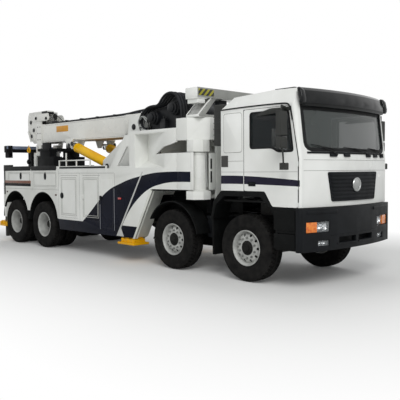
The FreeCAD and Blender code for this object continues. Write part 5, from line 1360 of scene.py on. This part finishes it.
cad_skin("boom_base", 0.006, "boom_enamel", segments=3, body="boom")
head_x = HINGE.x - 4.5
inner = softened("boom_inner", 0.005)
carve(inner, stowed(block("cutter", (-8.2, -7.78), (-0.05, 0.4), (3.092, 3.55), 0)))
two_tone(inner, "boom_enamel", "cast_steel",
    lambda c, n: c.x < head_x - 0.025 and abs(c.y) < 0.212 and c.z < 3.405)
dress(inner, None, ["boom_inner"], "boom_extension")
cover = plate("head_cover", side_outline([(-8.62, 3.15), (-7.9, 3.15), (-7.855, 3.2), (-7.93, 3.31), (-8.0, 3.335),
    (-8.62, 3.335)], -0.2445, 0.03), (0, -0.008, 0), 0.003)
pair(stowed(cover), "boom_enamel", body="boom_extension")
pair(stowed(join("head_bolts", [lathe("bolt", [(0, 0), (0.044, 0), (0.046, 0.006), (0.04, 0.014), (0.026, 0.018),
    (0.024, 0.03), (0, 0.032)], at(x, -0.2525, z), "Y", 28, -1) for x, z in ((-8.5, 3.245), (-7.945, 3.215))])),
    "winch_black", body="boom_extension")
dress(stowed(block("head_cap", (-8.19, -7.9), (-0.252, -0.04), (3.355, 3.412), 0.008, 3)), "winch_black",
    body="boom_extension")
straps = [side_plate("strap", rounded(corners, radius), y, 0.008, 0.003) for corners, radius, y in (
    ([(-8.96, 3.16), (-8.9, 3.2), (-8.56, 2.64), (-8.62, 2.59)], 0.03, -0.252),
    ([(-8.985, 2.9), (-8.925, 2.93), (-8.76, 2.62), (-8.82, 2.6)], 0.02, -0.258))]
pair(stowed(join("sheave_straps", straps)), "boom_enamel", body="boom_extension")
pair(stowed(join("sheave_pins", [lathe("pin", [(0, 0), (0.052, 0), (0.054, 0.008), (0.046, 0.016), (0.026, 0.02),
    (0, 0.021)], at(-8.24 + dx, -0.244, 2.75 + dz), "Y", 28, -1)
    for dx, dz in ((-0.56, 0.4), (-0.4, 0.18), (-0.52, 0.02))])), "winch_black", body="boom_extension")
for number, (r, dx, dz) in enumerate(((0.15, -0.56, 0.4), (0.15, -0.4, 0.18), (0.11, -0.52, 0.02),
    (0.09, 0.12, 0.53)), 1):
    wheels = [lathe("sheave", [(0.03, -0.021), (r * 0.5, -0.014), (r - 0.03, -0.014), (r - 0.006, -0.022),
        (r, -0.016), (r - 0.022, 0.0), (r, 0.016), (r - 0.006, 0.022), (r - 0.03, 0.014), (r * 0.5, 0.014),
        (0.03, 0.021)], at(-8.24 + dx, y, 2.75 + dz), "Y", 40) for y in (-0.12, 0.12)]
    dress(stowed(join(f"sheaves_{number}", wheels)), "cast_steel", body="boom_extension")

# wire ropes along the boom: from the fairlead at its foot to the head sheaves
for side, y in (("right", -0.12), ("left", 0.12)):
    spots = [at(-3.56, y, 3.15), at(-3.9, y, 3.095), at(-7.6, y, 3.085), at(-8.12, y, 3.372)]
    rope = tube(f"boom_rope_{side}", [spots[0], spots[1]] +
        [spots[1].lerp(spots[2], k / 12) for k in range(1, 13)] + [spots[3]], 0.011, 3, False)
    over = tube("over", [at(-8.12, y, 3.372), at(-8.42, y, 3.395), at(-8.8, y, 3.33), at(-8.925, y, 3.16),
        at(-8.93, y, 2.96), at(-8.9, y, 2.7)], 0.011)
    rope = stowed(join(f"boom_rope_{side}", [rope, over]))
    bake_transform(rope)
    rope.data.materials.append(MATERIALS["wire_rope"])
dress(stowed(join("fairlead", [lathe("roller", rod(0.035, -0.24, 0.24), at(-3.9, 0, 3.05), "Y", 28)] +
    [side_plate("cheek", [(-3.98, 3.02), (-3.82, 3.02), (-3.86, 3.1), (-3.94, 3.1)], y, 0.014)
    for y in (-0.262, 0.248)])), "winch_black", body="boom")
lines = [tube("line", side_outline(((-7.65, 3.075), (-7.3, 3.072), (-6.6, 3.07), (-5.7, 3.075), (-4.9, 3.078),
    (-4.3, 3.085), (-3.95, 3.12), (-3.7, 3.13)), y), 0.022, 4) for y in (-0.262, -0.215)]
dress(stowed(join("boom_hoses", lines[:1])), "hose_rubber", body="boom")
dress(stowed(join("boom_hoses_grey", lines[1:])), "hose_blue", body="boom")
clips = [block("clip", (x - 0.035, x + 0.035), (-0.3, -0.18), (3.043, 3.105), 0.006)
    for x in (-7.56, -6.9, -6.2, -5.5, -4.8, -4.2)]
dress(stowed(join("hose_clips", clips)), "winch_black", body="boom")
dress(stowed(block("hose_sleeve", (-7.7, -7.42), (-0.29, -0.18), (3.05, 3.125), 0.012, 3)), "winch_black",
    body="boom")

# collar at the boom's mouth and the bright guide plate that reaches down from it
dress(stowed(join("boom_guide", [side_plate("guide", rounded([(-8.33, 2.345), (-8.14, 2.345), (-8.07, 2.56),
    (-8.07, 3.08), (-8.33, 3.08)], 0.02), y, 0.012, 0.004) for y in (-0.3305, 0.3185)])), "boom_enamel",
    body="boom")
pair(stowed(row_of(hexagon("screw", at(-8.26, -0.3305, 2.65), 0.022, 0.012, "Y", -1), "guide_screws",
    [(0, 0, 0.17), (0, 0, 0.34), (0.12, 0, 0), (0.12, 0, 0.17), (0.12, 0, 0.34)])), "winch_black", body="boom")
pair(stowed(block("blank_panel", (-7.335, -6.765), (-0.3035, -0.299), (2.815, 2.965), 0.001)), "orange_sheet",
    body="boom")
pair(stowed(blocks("boom_seams", [((-8.05, -4.3), (-0.3015, -0.298), (z, z + 0.005), 0) for z in (2.596, 3.014)])),
    "seam_sealer", body="boom")
dress(stowed(block("wear_strip", (-6.42, -4.3), (-0.284, 0.284), (2.562, 2.574), 0.003)), "wear_bronze",
    body="boom")
pair(lathe("pivot_cap", [(0, 0), (0.062, 0), (0.064, 0.01), (0.054, 0.02), (0.036, 0.024), (0, 0.025)],
    at(-3.74, -0.53, 2.75), "Y", 32, -1), "winch_black")
pair(stowed(row_of(hexagon("bolt", at(-4.33, -0.3, 2.99), 0.02, 0.008, "Y", -1), "boom_bolts", [(0, 0, -0.36)])),
    "winch_black", body="boom")

# lift cylinders: barrel with gland and port, rod, pins
CYLINDER_Y = (-0.47, 0.47)
LOW, EYE = Vector((FRONT - 4.62, 0, 1.92)), Vector((FRONT - 6.22, 0, 2.434))
along = (EYE - LOW).normalized()
REACH = (EYE - LOW).length - 0.14
turn = Vector((0, 0, 1)).rotation_difference(along).to_matrix().to_4x4()
cad_skin("boom_cylinder_barrels", 0.004, "cylinder_yellow", "lift_barrels_skin", body="lift_barrels")
cad_skin("boom_cylinder_rods", 0.003, "chrome", "lift_rods_skin", body="lift_rods")


def on_cylinder(name, profile, y, reach, steps=40):
    """A turned part set along the cylinder's line at a reach from its lower pin."""
    obj = lathe(name, profile, (0, 0, 0), "Z", steps)
    obj.data.transform(Matrix.Translation(LOW + Vector((0, y, 0)) + along * reach) @ turn)
    return obj


dress(join("cylinder_glands", [on_cylinder("gland", [(0.052, -0.03), (0.108, -0.03), (0.113, -0.024), (0.113, 0.02),
    (0.104, 0.032), (0.052, 0.032)], y, REACH - 0.032) for y in CYLINDER_Y]), "cylinder_yellow",
    body="lift_barrels")
dress(join("cylinder_bands", [on_cylinder("band", [(0.104, -0.022), (0.112, -0.018), (0.112, 0.018),
    (0.104, 0.022)], y, 0.22) for y in CYLINDER_Y]), "winch_black", body="lift_barrels")
ports = [tube("port", [LOW + Vector((0, y, 0)) + along * reach + Vector((0.03, 0, 0.105))
    for reach in (0.18, 0.5, 0.9, REACH - 0.08)], 0.012) for y in CYLINDER_Y]
dress(join("cylinder_pipes", ports), "cylinder_yellow", body="lift_barrels")
cap_foot = EYE + Vector((0, -0.62, 0))
caps = [lathe("cap", [(0, 0), (0.058, 0), (0.06, 0.01), (0.05, 0.018), (0, 0.02)], cap_foot, "Y", 28, -1),
    lathe("cap", [(0, 0), (0.05, 0), (0.05, 0.016), (0, 0.018)], EYE + Vector((0.15, -0.62, 0.045)), "Y", 24, -1)]
pair(join("rod_eye_caps", caps), "winch_black", body="boom")
pair(lathe("barrel_pin_cap", [(0, 0), (0.062, 0), (0.062, 0.012), (0, 0.016)], LOW + Vector((0, -0.622, 0)), "Y",
    28, -1), "winch_black")

# ---------------------------------------------------------------- stabiliser legs, underlift and chassis fittings
RAKE = Vector((-2.31 + 2.87, 0, 1.47 - 0.5)).normalized()      # the way up the raked middle leg
LEG_FOOT = Vector((-3.02, 0, 0.5))       # the foot of its middle line, x from the first axle


def along_rake(start, stop, low, high):
    """Outline of a bar along the raked leg: distances along it, and its edges in x from its middle line."""
    a, b = LEG_FOOT + RAKE * start, LEG_FOOT + RAKE * stop
    return [(a.x + low, a.z), (a.x + high, a.z), (b.x + high, b.z), (b.x + low, b.z)]


def foot_pad(name, x, y, z, rise):
    """A stepped cast foot: a broad sole with a drawn-in upper step, ribs and a ball socket."""
    sole = block("sole", x, y, (z, z + 0.045), 0)
    edit(sole, faces=lambda c, n: n.z > 0.9)
    bpy.ops.mesh.inset(thickness=0.055)
    bpy.ops.mesh.extrude_region_move(TRANSFORM_OT_translate={"value": (0, 0, rise * 0.45)})
    bpy.ops.mesh.inset(thickness=0.045)
    bpy.ops.mesh.extrude_region_move(TRANSFORM_OT_translate={"value": (0, 0, rise * 0.35)})
    bevel(sole, 0.012, 3)
    mx, my = (x[0] + x[1]) / 2, (y[0] + y[1]) / 2
    ears = [block("ear", (mx - 0.2, mx + 0.2), (my + dy - 0.012, my + dy + 0.012), (z + 0.04, z + rise * 0.9),
        0.006) for dy in (-0.09, 0.09)]
    lugs = [lathe("lug", [(0, 0), (0.045, 0), (0.05, 0.012), (0.045, 0.075), (0.03, 0.085), (0, 0.085)],
        at(mx + dx, my - 0.115, z + 0.04), "Z", 20) for dx in (-0.17, 0.0, 0.17)]
    return join(name, [sole] + ears + lugs)


leg = side_plate("leg", along_rake(-0.09, 0.95, -0.096, 0.096), -1.188, 0.3, 0.006)
edit(leg, faces=lambda c, n: n.x > 0.5 and abs(n.y) < 0.3)
bpy.ops.mesh.inset(thickness=0.03)
bpy.ops.mesh.inset(thickness=0.004, depth=-0.01)
bevel(leg, 0.002)
pair(leg, "leg_grey", ["mid_leg_{}"], "mid_leg_{}")
pair(join("leg_ribs", [side_plate("rib", along_rake(s, s + 0.016, 0.08, 0.099), -1.18, 0.284, 0.002)
    for s in (0.1, 0.28, 0.46, 0.64, 0.82)]), "leg_grey", body="mid_leg_{}")
pad = foot_pad("mid_foot", (-3.34, -2.8), (-1.29, -0.9), 0.352, 0.15)
knob = lathe("knob", [(0, 0), (0.075, 0), (0.085, 0.02), (0.06, 0.075), (0.04, 0.085), (0, 0.085)],
    at(-3.105, -1.06, 0.44), "Z", 28)
pair(join("mid_foot", [pad, knob]), "yellow_enamel", body="mid_leg_{}")
pair(join("leg_guides", [side_plate("guide", along_rake(-0.02, 1.105, low, low + 0.03), FACE + 0.026, 0.03, 0.004)
    for low in (0.096, 0.128)] + [side_plate("guide", along_rake(-0.02, 1.105, 0.106, 0.118), -0.905, 0.03,
    0.004)]), "leg_rail")
pair(join("rake_rails", [side_plate("rail", along_rake(-0.02, 1.08, 0.15, 0.196), y, 0.03, 0.004)
    for y in (FACE + 0.002, FACE + 0.062)]), "leg_rail")
# a black strip between the two rake rails: painted shade in the gap
pair(side_plate("rake_groove", along_rake(-0.02, 1.08, 0.15, 0.168), FACE + 0.034, 0.026, 0), "winch_black")

pair(block("tail_leg", (REAR - 0.2, REAR - 0.08), (-1.18, -0.98), (0.5, 1.45), 0.006), "leg_grey", ["rear_leg_{}"],
    "rear_leg_{}")
pair(foot_pad("tail_foot", (REAR - 0.38, REAR - 0.02), (-1.255, -0.905), 0.382, 0.16), "yellow_enamel",
    body="rear_leg_{}")

# underlift: arm, stinger with its cross bar, fork holders
cad_skin("underlift_arm", 0.006, "chassis_black", body="underlift_arm")
dress(two_tone(softened("underlift_stinger", 0.006, "underlift_bar_skin"), "chassis_black", "bar_blue",
    lambda c, n: n.z > 0.8 and c.z > 2.4), None, ["underlift_stinger"], "underlift_stinger")
dress(block("bar_face", (-9.078, -9.07), (-0.845, 0.845), (2.44, 2.525), 0.002), "bar_blue",
    body="underlift_stinger")
pair(lathe("underlift_pin_cap", [(0, 0), (0.06, 0), (0.06, 0.012), (0.045, 0.022), (0, 0.022)],
    at(-9.15, -0.216, 0.64), "Y", 28, -1), "winch_black")
pair(join("fork_latch", [block("plate", (-9.262, -9.245), (-0.8, -0.68), (2.22, 2.5), 0.004),
    lathe("pin", [(0, 0), (0.024, 0), (0.026, 0.03), (0, 0.034)], at(-9.262, -0.74, 2.29), "X", 20, -1)]),
    "cast_steel", body="underlift_stinger")

# chassis fittings: air tanks, propeller shaft, battery box, side skirts and arch liners, mudflaps, engine, brake
# lines
tank = lathe("air_tank", [(0, -0.46), (0.07, -0.455), (0.125, -0.42), (0.14, -0.37), (0.14, 0.37), (0.125, 0.42),
    (0.07, 0.455), (0, 0.46)], at(-4.05, -0.64, 0.6), "X", 32)
straps = [lathe("strap", [(0.139, -0.02), (0.147, -0.02), (0.147, 0.02), (0.139, 0.02)], at(-4.05 + dx, -0.64, 0.6),
    "X", 32) for dx in (-0.24, 0.24)]
pair(join("air_tank", [tank] + straps), "chassis_black")
dress(lathe("propeller_shaft", [(0, -1.9), (0.055, -1.9), (0.06, -1.86), (0.048, -1.8), (0.048, 1.8), (0.06, 1.86),
    (0.055, 1.9), (0, 1.9)], at(-4.1, 0, 0.7), "X", 24), "cast_steel")
pair(blocks("battery_box", [((-1.18, -0.76), (-0.86, -0.44), (0.62, 0.98), 0.012, 3),
    ((-1.195, -0.748), (-0.872, -0.428), (0.96, 1.0), 0.008, 3)]), "black_abs")
pair(join("inner_skirt", [side_plate("skirt", [(-3.05, 0.42), (-0.56, 0.42), (-0.56, 1.44), (-2.33, 1.44)], -0.6,
    0.006, 0), side_plate("fold", [(-2.48, 1.3), (-0.56, 1.3), (-0.56, 1.312), (-2.48, 1.312)], -0.64, 0.04, 0)]),
    "guard_plastic")
pair(block("wing_liner", (-2.3, -1.56), (-1.205, -0.6), (1.44, 1.462), 0.003), "guard_plastic")
pair(side_plate("cab_arch_liner", [(-0.455, 1.3), (0.66, 1.3), (0.66, 0.9), (0.72, 0.9), (0.72, 1.33),
    (-0.455, 1.33)], -1.19, 0.56, 0.002), "guard_plastic")
pair(plate("front_mudflap", facing(rect(-1.19, -0.86, 0.38, 1.1), -0.7, 0.02), (0.01, 0, 0), 0.002),
    "guard_plastic")
pair(block("flap_reflector", (-0.712, -0.699), (-1.15, -1.05), (0.42, 0.49), 0.004), "red_lens")
cad_skin("engine", 0.03, "cast_steel", "engine_block", 3)
lines = [tube("line", side_outline(((-6.9, 1.06), (-5.0, 1.055), (-3.2, 1.06), (-1.6, 1.055), (-0.4, 1.06)),
    y * sign), 0.012) for sign in (-1, 1) for y in (0.4, 0.37)]
dress(join("brake_lines", lines), "hose_rubber")


# ---------------------------------------------------------------- floor, light and camera
def stage():
    deselect()
    bpy.ops.mesh.primitive_plane_add(size=120, location=(0, 0, -0.002))
    floor = bpy.context.object
    floor.name = "studio_floor"
    mat = bpy.data.materials.new("studio_floor")
    mat.use_nodes = True
    tree = mat.node_tree
    tree.nodes.clear()
    pale = add(tree, "BsdfPrincipled", {"Base Color": linear("#EDEDEB"), "Roughness": 0.9})
    glow = add(tree, "Emission", {"Color": (1, 1, 1, 1), "Strength": 1.0})
    away = add(tree, "VectorMath", {0: place(tree), 1: (0, 1.0, 0)}, operation="SUBTRACT").outputs[0]
    away = add(tree, "VectorMath", {0: away}, operation="ABSOLUTE").outputs[0]
    away = add(tree, "VectorMath", {0: away, 1: (5.3, 2.6, 0)}, operation="SUBTRACT").outputs[0]
    away = add(tree, "VectorMath", {0: away, 1: (0, 0, 0)}, operation="MAXIMUM").outputs[0]
    away = add(tree, "VectorMath", {0: away}, operation="LENGTH").outputs["Value"]
    share = add(tree, "MapRange", {"Value": away, "From Min": 0.2, "From Max": 4.0, "To Min": 0.04,
        "To Max": 1.0})
    lit = both(tree, "MULTIPLY", add(tree, "LightPath").outputs["Is Camera Ray"], share.outputs["Result"])
    mixed_floor = add(tree, "MixShader", {0: lit, 1: pale.outputs[0], 2: glow.outputs[0]})
    add(tree, "OutputMaterial", {"Surface": mixed_floor.outputs[0]})
    floor.data.materials.append(mat)

    world = bpy.data.worlds.new("studio")
    bpy.context.scene.world = world
    world.use_nodes = True
    tree = world.node_tree
    tree.nodes.clear()
    path = add(tree, "LightPath").outputs
    seen = both(tree, "MAXIMUM", both(tree, "MAXIMUM", path["Is Camera Ray"], path["Is Glossy Ray"]),
        path["Is Transmission Ray"])
    dim = add(tree, "Background", {"Color": linear("#F4F6F8"), "Strength": 0.45})
    white = add(tree, "Background", {"Color": (1, 1, 1, 1), "Strength": 1.0})
    mix = add(tree, "MixShader", {0: seen, 1: dim.outputs[0], 2: white.outputs[0]})
    add(tree, "OutputWorld", {"Surface": mix.outputs[0]})

    # name, place, aimed at, size, power
    lamps = (("key_softbox", (15, -10.5, 13), (0, 0, 1.2), 9.0, 1920),
        ("fill_softbox", (-9, -16, 9), (-1, 0, 1), 10.0, 150),
        ("rear_softbox", (-14, 10, 10), (-2, 0, 1.5), 9.0, 700))
    for name, spot, aim, size, power in lamps:
        light = bpy.data.lights.new(name, "AREA")
        light.size = size
        light.energy = power
        obj = bpy.data.objects.new(name, light)
        bpy.context.scene.collection.objects.link(obj)
        obj.location = spot
        obj.rotation_euler = (Vector(aim) - Vector(spot)).to_track_quat("-Z", "Y").to_euler()


def camera():
    """Standing at the truck's right front corner, a little above a person's eye."""
    yaw, pitch, roll = math.radians(136.261), math.radians(-2.849), math.radians(-0.386)
    ahead = Vector((math.cos(pitch) * math.cos(yaw), math.cos(pitch) * math.sin(yaw), math.sin(pitch)))
    right = ahead.cross(UP).normalized()
    upward = right.cross(ahead)
    across = right * math.cos(roll) + upward * math.sin(roll)
    above = upward * math.cos(roll) - right * math.sin(roll)
    data = bpy.data.cameras.new("camera")
    data.sensor_width = 36
    data.lens = 52.95                    # mm, on the 36 mm sensor
    data.clip_end = 300
    obj = bpy.data.objects.new("camera", data)
    bpy.context.scene.collection.objects.link(obj)
    turn = Matrix((across, above, -ahead)).transposed().to_4x4()
    obj.matrix_world = Matrix.Translation((FRONT + 6.341, -8.241, 1.808)) @ turn
    bpy.context.scene.camera = obj


stage()
camera()
bpy.context.scene.view_settings.view_transform = "Standard"
deselect()
